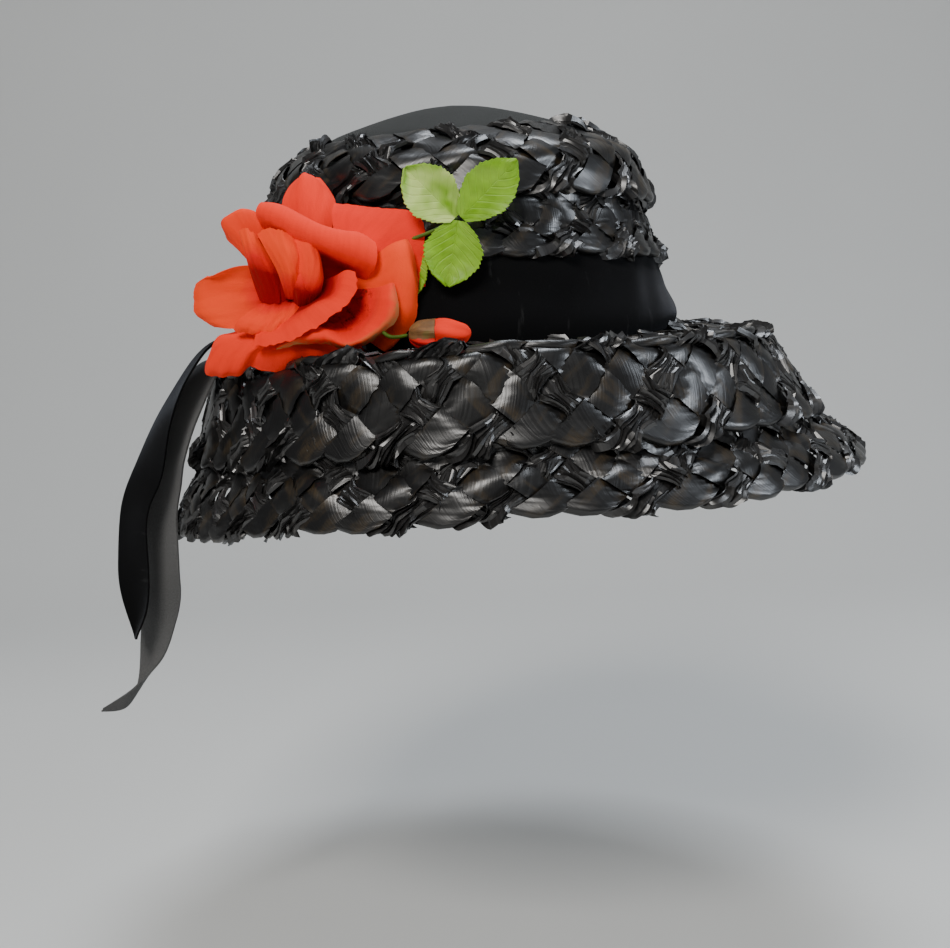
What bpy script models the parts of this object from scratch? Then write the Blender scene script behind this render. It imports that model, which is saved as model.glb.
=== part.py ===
"""Wide brim straw hat: a cloth crown dressed with plaited straw rows, a velvet band, a cloth rose
with leaves and a bud, and two velvet ribbon tails. The wearer looks along -Y and the origin is the
middle of the head opening. Azimuths start at the front (-Y) and turn towards +X."""
import math

import bmesh
import bpy
from mathutils import Vector

# Walls and seats
CLOTH_WALL = 0.0015
STRAW_WALL = 0.0020
VELVET_WALL = 0.0020
RIBBON_WALL = 0.0012
PETAL_WALL = 0.0010
LEAF_WALL = 0.0010
SEAT_GAP = 0.0003

# Crown
HEAD_WIDTH = 0.185
HEAD_LENGTH = 0.205
CROWN_HEIGHT = 0.112
CROWN_SKIRT = 0.003
UPPER_ROW_TOP = 0.0985
TOP_SLANT = 0.006
TOP_SLANT_FROM = 60.0
UPPER_ROW_WIDTH = 0.033
LOWER_ROW_WIDTH = 0.027
ROW_SLANT = 0.018
ROW_SLANT_FROM = -20.0
ROW_FLARE = 0.0052
SHOULDER_BULGE = 0.0040
BAND_TUCK = 0.004
BAND_BULGE = 0.0080
BAND_FOOT = 0.55 * BAND_BULGE
BAND_BELLY = 0.80
LOWER_ROW_TUCK = 0.24 * UPPER_ROW_WIDTH

# Brim
SHELF_WIDTH = 0.050
RIDGE_RISE = 0.010
UPPER_SLOPE_FLARE = 0.020
UPPER_SLOPE_DROP = 0.040
LOWER_SLOPE_FLARE = 0.020
LOWER_SLOPE_DROP = 0.030
SHELF_OVERHANG = 0.0035
OVERHANG_DROOP = 0.45
RIDGE_BEND = 0.7 * STRAW_WALL
UPPER_BEND = (0.36, 0.42)
LOWER_BEND = (0.62, 0.42)
ROW_TUCK = 0.009
LOWER_TUCK = ROW_TUCK / (0.6 * UPPER_SLOPE_DROP)
SCALLOP_DEPTH = 0.0030
BRIM_SCALLOPS = 50
CROWN_SCALLOPS = 28

# Rose
ROSE_AZIMUTH = -54.0
ROSE_HEIGHT = 0.027
ROSE_TILT = 14.0
PETAL_LENGTH = 0.060
RECEPTACLE_RADIUS = 0.0145
RECEPTACLE_LENGTH = 0.0125
RECEPTACLE_STANDOFF = 0.0040
RECEPTACLE_BACK = 0.32
RECEPTACLE_TIP = 0.12
RECEPTACLE_SIDES = 16
PETAL_GRID = (5, 4)
PETAL_CURL = 0.8
STEM_START = 0.8 * RECEPTACLE_RADIUS

# Leaves and bud
LEAF_LENGTH = 0.031
LEAF_GRID = (6, 4)
LEAF_CUP = 0.12
STEM_RADIUS = 0.0008
STEM_SIDES = 6
LEAF_STEM_BEND = 0.0095
BUD_STEM_CLEARANCE = 0.006
BUD_STEM_RUN = 0.008
BUD_STEM_TURN = 1.0
BUD_LENGTH = 0.0150
BUD_RADIUS = 0.0066
CAP_LENGTH = 0.0110
BUD_SIDES = 12
BUD_AZIMUTH = -23.5
BUD_PLACE = 0.496

# Ribbon tails
RIBBON_WIDTH = 0.024
TAIL_LENGTH = 0.215
TAIL_STANDOFF = 0.0012

# The crown's cloth from the tip down: height and reach, as shares of CROWN_HEIGHT and of the base
CROWN_PROFILE = (
    (1.000, 0.00),
    (0.984, 0.16),
    (0.950, 0.31),
    (0.915, 0.43),
    (0.868, 0.57),
    (0.800, 0.735),
    (0.735, 0.850),
    (0.660, 0.892),
    (0.560, 0.905),
    (0.300, 0.965),
    (0.000, 1.000),
)

# Straw rows of the crown from top to edge: share of the way down, and distance off the cloth
UPPER_ROW_STANDOFFS = (
    (0.00, 3.0 * SEAT_GAP),
    (0.20, 0.55 * SHOULDER_BULGE),
    (0.45, SHOULDER_BULGE),
    (0.70, 1.1 * SHOULDER_BULGE),
    (1.00, ROW_FLARE),
)
LOWER_ROW_STANDOFFS = (
    (0.00, 2.0 * SEAT_GAP),
    (0.40, 4.0 * SEAT_GAP),
    (0.80, 3.0 * SEAT_GAP + VELVET_WALL),
    (1.00, 5.0 * SEAT_GAP + VELVET_WALL),
)

# Velvet band from top to foot: share of the way down, and bulge as a share of BAND_BULGE
BAND_SECTIONS = ((0.0, 0.0), (0.22, 0.10), (0.55, 0.62), (0.84, BAND_BELLY))

# The brim round the head: azimuth, shelf, rise, upper flare, upper drop, lower flare and lower drop,
# as shares of SHELF_WIDTH, RIDGE_RISE and the slopes' flares and drops
BRIM_SECTIONS = (
    (-180.0, 0.96, -0.80, 0.60, 0.95, 0.70, 0.93),
    (-145.0, 0.76, -1.30, 0.50, 1.00, 0.60, 1.05),
    (-108.0, 0.58, -1.60, 0.50, 1.02, 0.55, 1.18),
    (-75.0, 0.66, -0.95, 0.45, 1.02, 0.50, 1.12),
    (-40.0, 0.86, 0.10, 0.40, 1.03, 0.50, 1.05),
    (-10.0, 0.96, 0.50, 0.42, 1.03, 0.50, 0.98),
    (25.0, 1.04, 0.10, 0.70, 1.02, 0.85, 0.93),
    (72.0, 1.09, -0.65, 1.00, 0.89, 1.10, 0.95),
    (125.0, 1.06, -0.80, 0.85, 0.93, 0.90, 0.92),
)

# Petals from the heart outwards: name, rank, clock, close, open, length, width. The rank is the place
# on the receptacle, the clock the turn from the top towards the front of the hat, close and open the
# tilts from the rose's axis at foot and tip, length and width shares of PETAL_LENGTH
PETALS = (
    ("heart_core", 0, 200.0, 2.0, 6.0, 0.52, 0.26),
    ("heart_fold", 1, 20.0, 5.0, 14.0, 0.60, 0.42),
    ("heart_left", 2, 235.0, 7.0, 20.0, 0.60, 0.48),
    ("heart_right", 3, 110.0, 10.0, 28.0, 0.62, 0.54),
    ("heart_low", 4, 190.0, 13.0, 36.0, 0.64, 0.62),
    ("inner_swirl", 5, 80.0, 16.0, 44.0, 0.70, 0.66),
    ("rolled_top", 6, 32.0, 20.0, 58.0, 0.76, 0.90),
    ("inner_left", 6, 262.0, 20.0, 50.0, 0.74, 0.70),
    ("lower_lip", 7, 145.0, 23.0, 58.0, 0.76, 0.84),
    ("ear_left", 7, 314.0, 24.0, 56.0, 0.72, 0.58),
    ("low_front", 8, 167.0, 24.0, 54.0, 0.60, 0.52),
    ("lower_left", 9, 218.0, 26.0, 58.0, 0.84, 0.74),
    ("front_right", 9, 101.0, 34.0, 78.0, 1.14, 0.84),
    ("standing_top", 9, 2.0, 40.0, 74.0, 0.66, 0.60),
    ("cupped_left", 10, 266.0, 34.0, 62.0, 0.80, 0.70),
    ("broad_right", 10, 66.0, 42.0, 88.0, 1.12, 1.14),
)
RANKS = max(row[1] for row in PETALS) + 1

# Outline of a petal and of a leaf: half width along the length, as a share of half the width
PETAL_OUTLINE = ((0.0, 0.30), (0.3, 0.66), (0.6, 0.96), (0.78, 1.0), (0.92, 0.80), (1.0, 0.46))
LEAF_OUTLINE = ((0.0, 0.12), (0.18, 0.62), (0.42, 1.0), (0.65, 0.92), (0.85, 0.58), (1.0, 0.10))

# Leaves: name, azimuth, height, clock, lean, length, width. Azimuth and height (a share of
# CROWN_HEIGHT) are where it starts, the clock is the way it points from up towards +azimuth, the lean
# its tilt off the crown; length and width are shares of LEAF_LENGTH
LEAVES = (
    ("leaf_left", -18.5, 0.502, -42.0, 6.0, 0.96, 0.70),
    ("leaf_right", -17.1, 0.502, 47.0, 8.0, 1.08, 0.66),
    ("leaf_lower", -17.9, 0.491, 192.0, 2.0, 0.90, 0.76),
)
LEAF_STANDOFF = 0.0150
SMALL_LEAF = ("leaf_under_rose", -29.2, 0.402, 180.0, 1.0, 0.70, 0.42)
SMALL_LEAF_STANDOFF = 0.0099

# The bud's cap and petals: place along and radius, as shares of their lengths and of BUD_RADIUS
CAP_SECTIONS = ((1.0, 0.18), (0.90, 0.55), (0.55, 0.92), (0.0, 1.0))
BUD_SECTIONS = ((0.0, 0.98), (0.45, 0.92), (0.85, 0.60), (1.0, 0.22))

# Ribbon tails: out, along, up, width azimuth, width climb, width. The centre line is in shares of
# TAIL_LENGTH (out from the band, along the rim towards the back, up), then come the way the ribbon's
# width points and its width as a share of RIBBON_WIDTH
TAIL_START_AZIMUTH = -62.0
VELVET_TAIL = (
    (-0.004, 0.000, 0.030, -6.0, 0.0, 0.60),
    (0.050, 0.072, 0.026, -30.0, 0.0, 0.70),
    (0.102, 0.142, 0.022, -44.0, 0.0, 0.80),
    (0.144, 0.196, -0.036, -40.0, -8.0, 0.88),
    (0.168, 0.258, -0.130, -26.0, -18.0, 0.94),
    (0.174, 0.322, -0.240, -14.0, -14.0, 1.00),
    (0.190, 0.363, -0.335, -4.0, -4.0, 1.00),
    (0.196, 0.368, -0.460, 0.0, 0.0, 0.96),
    (0.198, 0.368, -0.555, 0.0, 0.0, 0.66),
    (0.203, 0.374, -0.620, 0.0, 0.0, 0.10),
)
REVERSE_TAIL = (
    (-0.020, 0.120, 0.012, -4.0, 0.0, 0.56),
    (0.035, 0.150, -0.006, -6.0, 0.0, 0.62),
    (0.096, 0.184, -0.030, -4.0, -2.0, 0.70),
    (0.128, 0.222, -0.115, -6.0, -14.0, 0.78),
    (0.130, 0.272, -0.200, -6.0, -18.0, 0.86),
    (0.130, 0.308, -0.265, -4.0, -10.0, 0.92),
    (0.136, 0.340, -0.345, 0.0, -2.0, 0.98),
    (0.136, 0.350, -0.465, 2.0, 0.0, 1.00),
    (0.138, 0.357, -0.528, 4.0, 4.0, 1.00),
    (0.146, 0.375, -0.600, 4.0, 12.0, 1.00),
    (0.160, 0.397, -0.700, 2.0, 30.0, 0.92),
    (0.192, 0.430, -0.765, 0.0, 48.0, 0.62),
    (0.238, 0.478, -0.792, 0.0, 56.0, 0.14),
)

AROUND_CLOTH = 36
AROUND_BAND = AROUND_CLOTH
AROUND_BRIM = 2 * BRIM_SCALLOPS
AROUND_CROWN = 2 * CROWN_SCALLOPS


def clear_scene():
    for thing in list(bpy.data.objects):
        bpy.data.objects.remove(thing, do_unlink=True)


def finish_of(name, colour, roughness, sheen=0.0):
    material = bpy.data.materials.new(name)
    material.use_nodes = True
    shader = material.node_tree.nodes["Principled BSDF"]
    shader.inputs["Base Color"].default_value = (*colour, 1.0)
    shader.inputs["Roughness"].default_value = roughness
    shader.inputs["Metallic"].default_value = 0.0
    shader.inputs["Sheen Weight"].default_value = sheen
    return material


def between(table, key):
    """Values of a table's other columns at key, read along straight lines between its rows."""
    rows = sorted(table)
    if key <= rows[0][0]:
        return rows[0][1:]
    if key >= rows[-1][0]:
        return rows[-1][1:]
    place = max(i for i, row in enumerate(rows) if row[0] <= key)
    low, high = rows[place], rows[place + 1]
    share = (key - low[0]) / (high[0] - low[0])
    return tuple(a + (b - a) * share for a, b in zip(low[1:], high[1:]))


def round_table(table, azimuth):
    """Values at an azimuth of a table that closes on itself."""
    rows = sorted(table)
    azimuth = (azimuth + 180.0) % 360.0 - 180.0
    ring = [(rows[-1][0] - 360.0, *rows[-1][1:]), *rows, (rows[0][0] + 360.0, *rows[0][1:])]
    place = max(i for i, row in enumerate(ring) if row[0] <= azimuth)
    low, high = ring[place], ring[min(place + 1, len(ring) - 1)]
    share = (azimuth - low[0]) / (high[0] - low[0])
    share = share * share * (3.0 - 2.0 * share)
    return tuple(a + (b - a) * share for a, b in zip(low[1:], high[1:]))


def outwards(azimuth):
    angle = math.radians(azimuth)
    return Vector((math.sin(angle), -math.cos(angle), 0.0))


def sideways(azimuth):
    angle = math.radians(azimuth)
    return Vector((math.cos(angle), math.sin(angle), 0.0))


def oval(azimuth):
    """Reach of the crown's cloth at its base."""
    angle = math.radians(azimuth)
    half_width = HEAD_WIDTH / 2.0 + CLOTH_WALL
    half_length = HEAD_LENGTH / 2.0 + CLOTH_WALL
    return 1.0 / math.hypot(math.sin(angle) / half_width, math.cos(angle) / half_length)


def crown_reach(azimuth, height):
    rows = [(row[0], row[1]) for row in CROWN_PROFILE]
    return oval(azimuth) * between(rows, height / CROWN_HEIGHT)[0]


def offset_line(line, distance):
    """The line moved to its outer side; lines run from the top or the inside to the edge."""
    moved = []
    for i, (reach, height) in enumerate(line):
        before = line[max(i - 1, 0)]
        after = line[min(i + 1, len(line) - 1)]
        first = Vector((reach - before[0], height - before[1]))
        second = Vector((after[0] - reach, after[1] - height))
        first = first.normalized() if first.length else second.normalized()
        second = second.normalized() if second.length else first
        middle = (first + second).normalized()
        stretch = 1.0 / max(middle.dot(first), 0.6)
        moved.append((reach - middle.y * distance * stretch, height + middle.x * distance * stretch))
    return moved


def lengthen(line, extra):
    """The line with its last point pushed on by extra."""
    end = Vector(line[-1])
    way = (end - Vector(line[-2])).normalized()
    return [*line[:-1], tuple(end + way * extra)]


def scallop(index):
    return SCALLOP_DEPTH * (0.5 if index % 2 else -0.5)


def row_fall(azimuth):
    """How far the crown's rows hang lower at an azimuth than at the front."""
    return ROW_SLANT * (0.5 - 0.5 * math.cos(math.radians(azimuth - ROW_SLANT_FROM)))


def upper_row_top(azimuth):
    """Height of the straw's top edge, which sits lower on the rose's side."""
    return UPPER_ROW_TOP - TOP_SLANT * (0.5 - 0.5 * math.cos(math.radians(azimuth - TOP_SLANT_FROM)))


def upper_row_bottom(azimuth):
    return UPPER_ROW_TOP - UPPER_ROW_WIDTH - row_fall(azimuth)


def lower_row_bottom(azimuth):
    return upper_row_bottom(azimuth) - LOWER_ROW_WIDTH


def cloth_line(azimuth):
    line = [(crown_reach(azimuth, row[0] * CROWN_HEIGHT), row[0] * CROWN_HEIGHT) for row in CROWN_PROFILE]
    return [*line, (oval(azimuth), -CROWN_SKIRT)]


def crown_row_line(azimuth, top, bottom, standoffs):
    """Outer line of a straw row that leans on the cloth at its top and flares at its edge."""
    heights = [top + (bottom - top) * share for share, _ in standoffs]
    cloth = [(crown_reach(azimuth, height), height) for height in heights]
    line = []
    for i, (_, standoff) in enumerate(standoffs):
        line.append(offset_line(cloth, standoff + STRAW_WALL)[i])
    return line


def upper_crown_line(azimuth):
    return crown_row_line(azimuth, upper_row_top(azimuth), upper_row_bottom(azimuth), UPPER_ROW_STANDOFFS)


def lower_crown_line(azimuth):
    top = upper_row_bottom(azimuth) + LOWER_ROW_TUCK
    return crown_row_line(azimuth, top, lower_row_bottom(azimuth), LOWER_ROW_STANDOFFS)


def brim_at(azimuth):
    shelf, rise, flare_1, drop_1, flare_2, drop_2 = round_table(BRIM_SECTIONS, azimuth)
    ridge = (oval(azimuth) + shelf * SHELF_WIDTH, rise * RIDGE_RISE)
    ledge = (ridge[0] + flare_1 * UPPER_SLOPE_FLARE, ridge[1] - drop_1 * UPPER_SLOPE_DROP)
    rim = (ledge[0] + flare_2 * LOWER_SLOPE_FLARE, ledge[1] - drop_2 * LOWER_SLOPE_DROP)
    return ridge, ledge, rim


def shelf_height(azimuth, reach):
    """Top of the shelf row at a reach between the crown and the ridge."""
    ridge = brim_at(azimuth)[0]
    inner = oval(azimuth) + SEAT_GAP
    return ridge[1] * (reach - inner) / (ridge[0] - inner)


def under_shelf(azimuth, reach):
    """Height just below the shelf row's wall, where the row under it lies."""
    ridge = brim_at(azimuth)[0]
    slope = ridge[1] / (ridge[0] - oval(azimuth) - SEAT_GAP)
    return shelf_height(azimuth, reach) - (STRAW_WALL + SEAT_GAP) * math.hypot(1.0, slope)


def shelf_line(azimuth):
    ridge = brim_at(azimuth)[0]
    edge = (ridge[0] + SHELF_OVERHANG, ridge[1] - OVERHANG_DROOP * SHELF_OVERHANG)
    return [(oval(azimuth) + SEAT_GAP, 0.0), ridge, edge]


def upper_brim_line(azimuth):
    ridge, ledge, _ = brim_at(azimuth)
    flare = ledge[0] - ridge[0]
    fall = ridge[1] - ledge[1]
    tucked = ridge[0] - ROW_TUCK
    bend = ridge[0] - RIDGE_BEND
    return [
        (tucked, under_shelf(azimuth, tucked)),
        (bend, under_shelf(azimuth, bend)),
        (ridge[0] + UPPER_BEND[0] * flare, ridge[1] - UPPER_BEND[1] * fall),
        ledge,
    ]


def lower_brim_line(azimuth):
    _, ledge, rim = brim_at(azimuth)
    upper = upper_brim_line(azimuth)
    inside = offset_line(lengthen(upper, SCALLOP_DEPTH), -(STRAW_WALL + SEAT_GAP))
    start = Vector(inside[-2]).lerp(Vector(inside[-1]), 1.0 - LOWER_TUCK)
    flare = rim[0] - ledge[0]
    fall = ledge[1] - rim[1]
    return [
        tuple(start),
        inside[-1],
        (ledge[0] + LOWER_BEND[0] * flare, ledge[1] - LOWER_BEND[1] * fall),
        rim,
    ]


def band_line(azimuth):
    top = lower_row_bottom(azimuth) + BAND_TUCK
    wall = VELVET_WALL
    foot_reach = oval(azimuth) + BAND_FOOT
    foot = max(shelf_height(azimuth, foot_reach), shelf_height(azimuth, foot_reach + wall)) + 2.0 * SEAT_GAP
    line = []
    for share, bulge in BAND_SECTIONS:
        height = top + (foot - top) * share
        line.append((crown_reach(azimuth, height) + SEAT_GAP + wall + bulge * BAND_BULGE, height))
    return [*line, (foot_reach + wall, foot)]


def close_grids(name, outer, inner, ring, material):
    """One closed wall between two grids of points; ring closes the grids' first direction."""
    mesh = bpy.data.meshes.new(name)
    shape = bmesh.new()
    rows = len(outer)
    columns = len(outer[0])
    out = [[shape.verts.new(point) for point in line] for line in outer]
    back = [[shape.verts.new(point) for point in line] for line in inner]
    for i in range(rows if ring else rows - 1):
        k = (i + 1) % rows
        for j in range(columns - 1):
            shape.faces.new((out[i][j], out[i][j + 1], out[k][j + 1], out[k][j]))
            shape.faces.new((back[i][j], back[k][j], back[k][j + 1], back[i][j + 1]))
        for j in (0, columns - 1):
            shape.faces.new((out[i][j], out[k][j], back[k][j], back[i][j]))
    if not ring:
        for i in (0, rows - 1):
            for j in range(columns - 1):
                shape.faces.new((out[i][j], out[i][j + 1], back[i][j + 1], back[i][j]))
    bmesh.ops.remove_doubles(shape, verts=shape.verts, dist=1e-6)
    bmesh.ops.recalc_face_normals(shape, faces=shape.faces)
    shape.to_mesh(mesh)
    shape.free()
    mesh.shade_smooth()
    mesh.set_sharp_from_angle(angle=math.radians(50.0))
    return add_object(name, mesh, material)


def add_object(name, mesh, material):
    thing = bpy.data.objects.new(name, mesh)
    bpy.context.collection.objects.link(thing)
    mesh.materials.append(material)
    return thing


def turned_wall(name, outer_line, wall, around, material, scalloped=False, plumb_start=False):
    """A wall round the head: its section is worked out at each azimuth."""
    outer = []
    inner = []
    for i in range(around):
        azimuth = 360.0 * i / around
        line = outer_line(azimuth)
        under = offset_line(line, -wall)
        if plumb_start:
            under[0] = (line[0][0], under[0][1])
        if scalloped:
            line = lengthen(line, scallop(i))
            under = lengthen(under, scallop(i))
        way = outwards(azimuth)
        outer.append([way * reach + Vector((0.0, 0.0, height)) for reach, height in line])
        inner.append([way * reach + Vector((0.0, 0.0, height)) for reach, height in under])
    return close_grids(name, outer, inner, True, material)


def crown_cloth(material):
    """The dome and wall of cloth, open below, with a closed pole at the tip."""
    mesh = bpy.data.meshes.new("crown_cloth")
    shape = bmesh.new()
    surfaces = []
    for wall in (0.0, CLOTH_WALL):
        grid = []
        for i in range(AROUND_CLOTH):
            azimuth = 360.0 * i / AROUND_CLOTH
            line = offset_line(cloth_line(azimuth), -wall)
            line[-1] = (line[-1][0], -CROWN_SKIRT)
            way = outwards(azimuth)
            grid.append([way * reach + Vector((0.0, 0.0, height)) for reach, height in line[1:]])
        pole = shape.verts.new((0.0, 0.0, CROWN_HEIGHT - wall))
        rings = [[shape.verts.new(point) for point in line] for line in grid]
        surfaces.append(rings)
        for i, line in enumerate(rings):
            after = rings[(i + 1) % AROUND_CLOTH]
            shape.faces.new((pole, line[0], after[0]))
            for j in range(len(line) - 1):
                shape.faces.new((line[j], line[j + 1], after[j + 1], after[j]))
    for i in range(AROUND_CLOTH):
        k = (i + 1) % AROUND_CLOTH
        shape.faces.new((surfaces[0][i][-1], surfaces[0][k][-1], surfaces[1][k][-1], surfaces[1][i][-1]))
    bmesh.ops.recalc_face_normals(shape, faces=shape.faces)
    shape.to_mesh(mesh)
    shape.free()
    mesh.shade_smooth()
    return add_object("crown_cloth", mesh, material)


def normals_of(grid):
    """Normals of a grid of points, from the differences between its neighbours."""
    rows = len(grid)
    columns = len(grid[0])
    normals = []
    for i in range(rows):
        line = []
        for j in range(columns):
            along = grid[min(i + 1, rows - 1)][j] - grid[max(i - 1, 0)][j]
            across = grid[i][min(j + 1, columns - 1)] - grid[i][max(j - 1, 0)]
            line.append(along.cross(across).normalized())
        normals.append(line)
    return normals


def thick_sheet(name, grid, wall, material):
    """A closed sheet of even wall with the grid in its middle."""
    normals = normals_of(grid)
    half = wall / 2.0
    front = [[p + n * half for p, n in zip(*pair)] for pair in zip(grid, normals)]
    rear = [[p - n * half for p, n in zip(*pair)] for pair in zip(grid, normals)]
    return close_grids(name, front, rear, False, material)


def band_reach(azimuth, height):
    """Outer reach of the velvet band at a height."""
    line = sorted(((z, r) for r, z in band_line(azimuth)))
    return between(line, height)[0]


def rose_axes():
    """The rose's foot on the band, its axis, and its right and up directions."""
    out = outwards(ROSE_AZIMUTH)
    right = sideways(ROSE_AZIMUTH)
    tilt = math.radians(ROSE_TILT)
    axis = out * math.cos(tilt) + Vector((0.0, 0.0, 1.0)) * math.sin(tilt)
    foot = out * (band_reach(ROSE_AZIMUTH, ROSE_HEIGHT) + RECEPTACLE_STANDOFF)
    foot.z = ROSE_HEIGHT
    return foot, axis, right, axis.cross(right)


def rose_point(clock, reach, forward):
    foot, axis, right, up = rose_axes()
    angle = math.radians(clock)
    return foot + (up * math.cos(angle) + right * math.sin(angle)) * reach + axis * forward


def rose_receptacle(material):
    """A cone whose back stands on the band and whose side carries the petals' feet."""
    sides = RECEPTACLE_SIDES
    mesh = bpy.data.meshes.new("rose_receptacle")
    shape = bmesh.new()
    back = 3.5 * SEAT_GAP - RECEPTACLE_STANDOFF
    sections = ((RECEPTACLE_BACK, back), (1.0, 0.0), (RECEPTACLE_TIP, RECEPTACLE_LENGTH))
    rings = []
    for share, forward in sections:
        ring = [rose_point(360.0 * i / sides, share * RECEPTACLE_RADIUS, forward) for i in range(sides)]
        rings.append([shape.verts.new(point) for point in ring])
    for low, high in zip(rings, rings[1:]):
        for i in range(sides):
            k = (i + 1) % sides
            shape.faces.new((low[i], low[k], high[k], high[i]))
    shape.faces.new(rings[0])
    shape.faces.new(rings[-1])
    bmesh.ops.recalc_face_normals(shape, faces=shape.faces)
    shape.to_mesh(mesh)
    shape.free()
    return add_object("rose_receptacle", mesh, material)


def petal_line(rank, close, open_, length, steps):
    """Centre line of a petal: reach from and place along the rose's axis."""
    taper = 1.0 - RECEPTACLE_TIP
    side = Vector((RECEPTACLE_LENGTH, taper * RECEPTACLE_RADIUS)).normalized()
    share = (rank + 0.6) / RANKS
    clearance = SEAT_GAP + 0.35 * PETAL_WALL
    reach = RECEPTACLE_RADIUS * (RECEPTACLE_TIP + taper * share) + side.x * clearance
    forward = RECEPTACLE_LENGTH * (1.0 - share) + side.y * clearance
    line = [(reach, forward)]
    for i in range(steps):
        tilt = math.radians(close + (open_ - close) * ((i + 0.5) / steps) ** PETAL_CURL)
        reach += math.sin(tilt) * length / steps
        forward += math.cos(tilt) * length / steps
        line.append((reach, forward))
    return line


def rose_petal(row, material):
    name, rank, clock, close, open_, length, width = row
    steps, across = PETAL_GRID
    line = petal_line(rank, close, open_, length * PETAL_LENGTH, steps)
    grid = []
    for i, (reach, forward) in enumerate(line):
        half = 0.5 * width * PETAL_LENGTH * between(PETAL_OUTLINE, i / steps)[0]
        points = []
        for j in range(across + 1):
            side = 2.0 * j / across - 1.0
            turn = math.degrees(half * side / max(reach, 0.25 * half))
            points.append(rose_point(clock + turn, reach, forward))
        grid.append(points)
    return thick_sheet("rose_petal_" + name, grid, PETAL_WALL, material)


def leaf_grid(row, standoff):
    """A leaf that lies along the crown, a little off it, curved across its midrib."""
    _, azimuth, height_share, clock, lean, length, width = row
    steps, across = LEAF_GRID
    height = height_share * CROWN_HEIGHT
    reach = crown_reach(azimuth, height) + standoff
    start = outwards(azimuth) * reach + Vector((0.0, 0.0, height))
    angle = math.radians(clock)
    way = Vector((0.0, 0.0, 1.0)) * math.cos(angle) + sideways(azimuth) * math.sin(angle)
    cross = sideways(azimuth) * math.cos(angle) - Vector((0.0, 0.0, 1.0)) * math.sin(angle)
    out = outwards(azimuth)
    tilt = math.radians(lean)
    grid = []
    for i in range(steps + 1):
        share = i / steps
        half = 0.5 * width * LEAF_LENGTH * between(LEAF_OUTLINE, share)[0]
        run = length * LEAF_LENGTH * share
        points = []
        for j in range(across + 1):
            side = 2.0 * j / across - 1.0
            rise = math.sin(tilt) * run + LEAF_CUP * half * side * side
            points.append(start + way * math.cos(tilt) * run + cross * half * side + out * rise)
        grid.append(points)
    return grid


def wire(name, points, material):
    """A thin wire along a smooth curve through the points."""
    sides = STEM_SIDES
    mesh = bpy.data.meshes.new(name)
    shape = bmesh.new()
    rings = []
    for i, point in enumerate(points):
        way = (points[min(i + 1, len(points) - 1)] - points[max(i - 1, 0)]).normalized()
        first = way.cross(Vector((0.0, 0.0, 1.0))).normalized()
        second = way.cross(first)
        ring = []
        for k in range(sides):
            angle = 2.0 * math.pi * k / sides
            spoke = first * math.cos(angle) + second * math.sin(angle)
            ring.append(shape.verts.new(point + spoke * STEM_RADIUS))
        rings.append(ring)
    for low, high in zip(rings, rings[1:]):
        for k in range(sides):
            m = (k + 1) % sides
            shape.faces.new((low[k], low[m], high[m], high[k]))
    shape.faces.new(rings[0])
    shape.faces.new(rings[-1])
    bmesh.ops.recalc_face_normals(shape, faces=shape.faces)
    shape.to_mesh(mesh)
    shape.free()
    mesh.shade_smooth()
    return add_object(name, mesh, material)


def smooth_route(points, steps):
    """Points read from one smooth curve through a few chosen ones."""
    route = []
    for i in range(len(points) - 1):
        p0 = points[max(i - 1, 0)]
        p1 = points[i]
        p2 = points[i + 1]
        p3 = points[min(i + 2, len(points) - 1)]
        for k in range(steps):
            t = k / steps
            route.append(0.5 * (2.0 * p1 + (p2 - p0) * t + (2.0 * p0 - 5.0 * p1 + 4.0 * p2 - p3) * t * t
                                + (3.0 * p1 - p0 - 3.0 * p2 + p3) * t ** 3))
    return [*route, points[-1].copy()]


def on_crown(azimuth, height, standoff):
    return outwards(azimuth) * (crown_reach(azimuth, height) + standoff) + Vector((0.0, 0.0, height))


def leaf_stem(material):
    """From the back of the rose along the band to the joint of the three leaflets."""
    start = rose_point(78.0, STEM_START, -STEM_RADIUS - 3.0 * SEAT_GAP)
    stand = LEAF_STANDOFF - LEAF_WALL / 2.0 - STEM_RADIUS - 2.0 * SEAT_GAP
    joint = on_crown(LEAVES[2][1], CROWN_HEIGHT * LEAVES[1][2], stand)
    middle = on_crown(0.5 * (ROSE_AZIMUTH + LEAVES[2][1]) - 2.0, 0.5 * (start.z + joint.z), LEAF_STEM_BEND)
    before = on_crown(LEAVES[2][1] - 6.0, CROWN_HEIGHT * LEAVES[2][2] - BAND_TUCK, stand)
    return wire("leaf_stem", smooth_route([start, middle, before, joint], 3), material)


def bud_frame():
    """Middle of the bud on the shelf, and the way it points."""
    inner = oval(BUD_AZIMUTH)
    reach = inner + BUD_PLACE * (brim_at(BUD_AZIMUTH)[0][0] - inner)
    height = shelf_height(BUD_AZIMUTH, reach) + BUD_RADIUS + 2.0 * SEAT_GAP
    return outwards(BUD_AZIMUTH) * reach + Vector((0.0, 0.0, height)), sideways(BUD_AZIMUTH)


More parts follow.
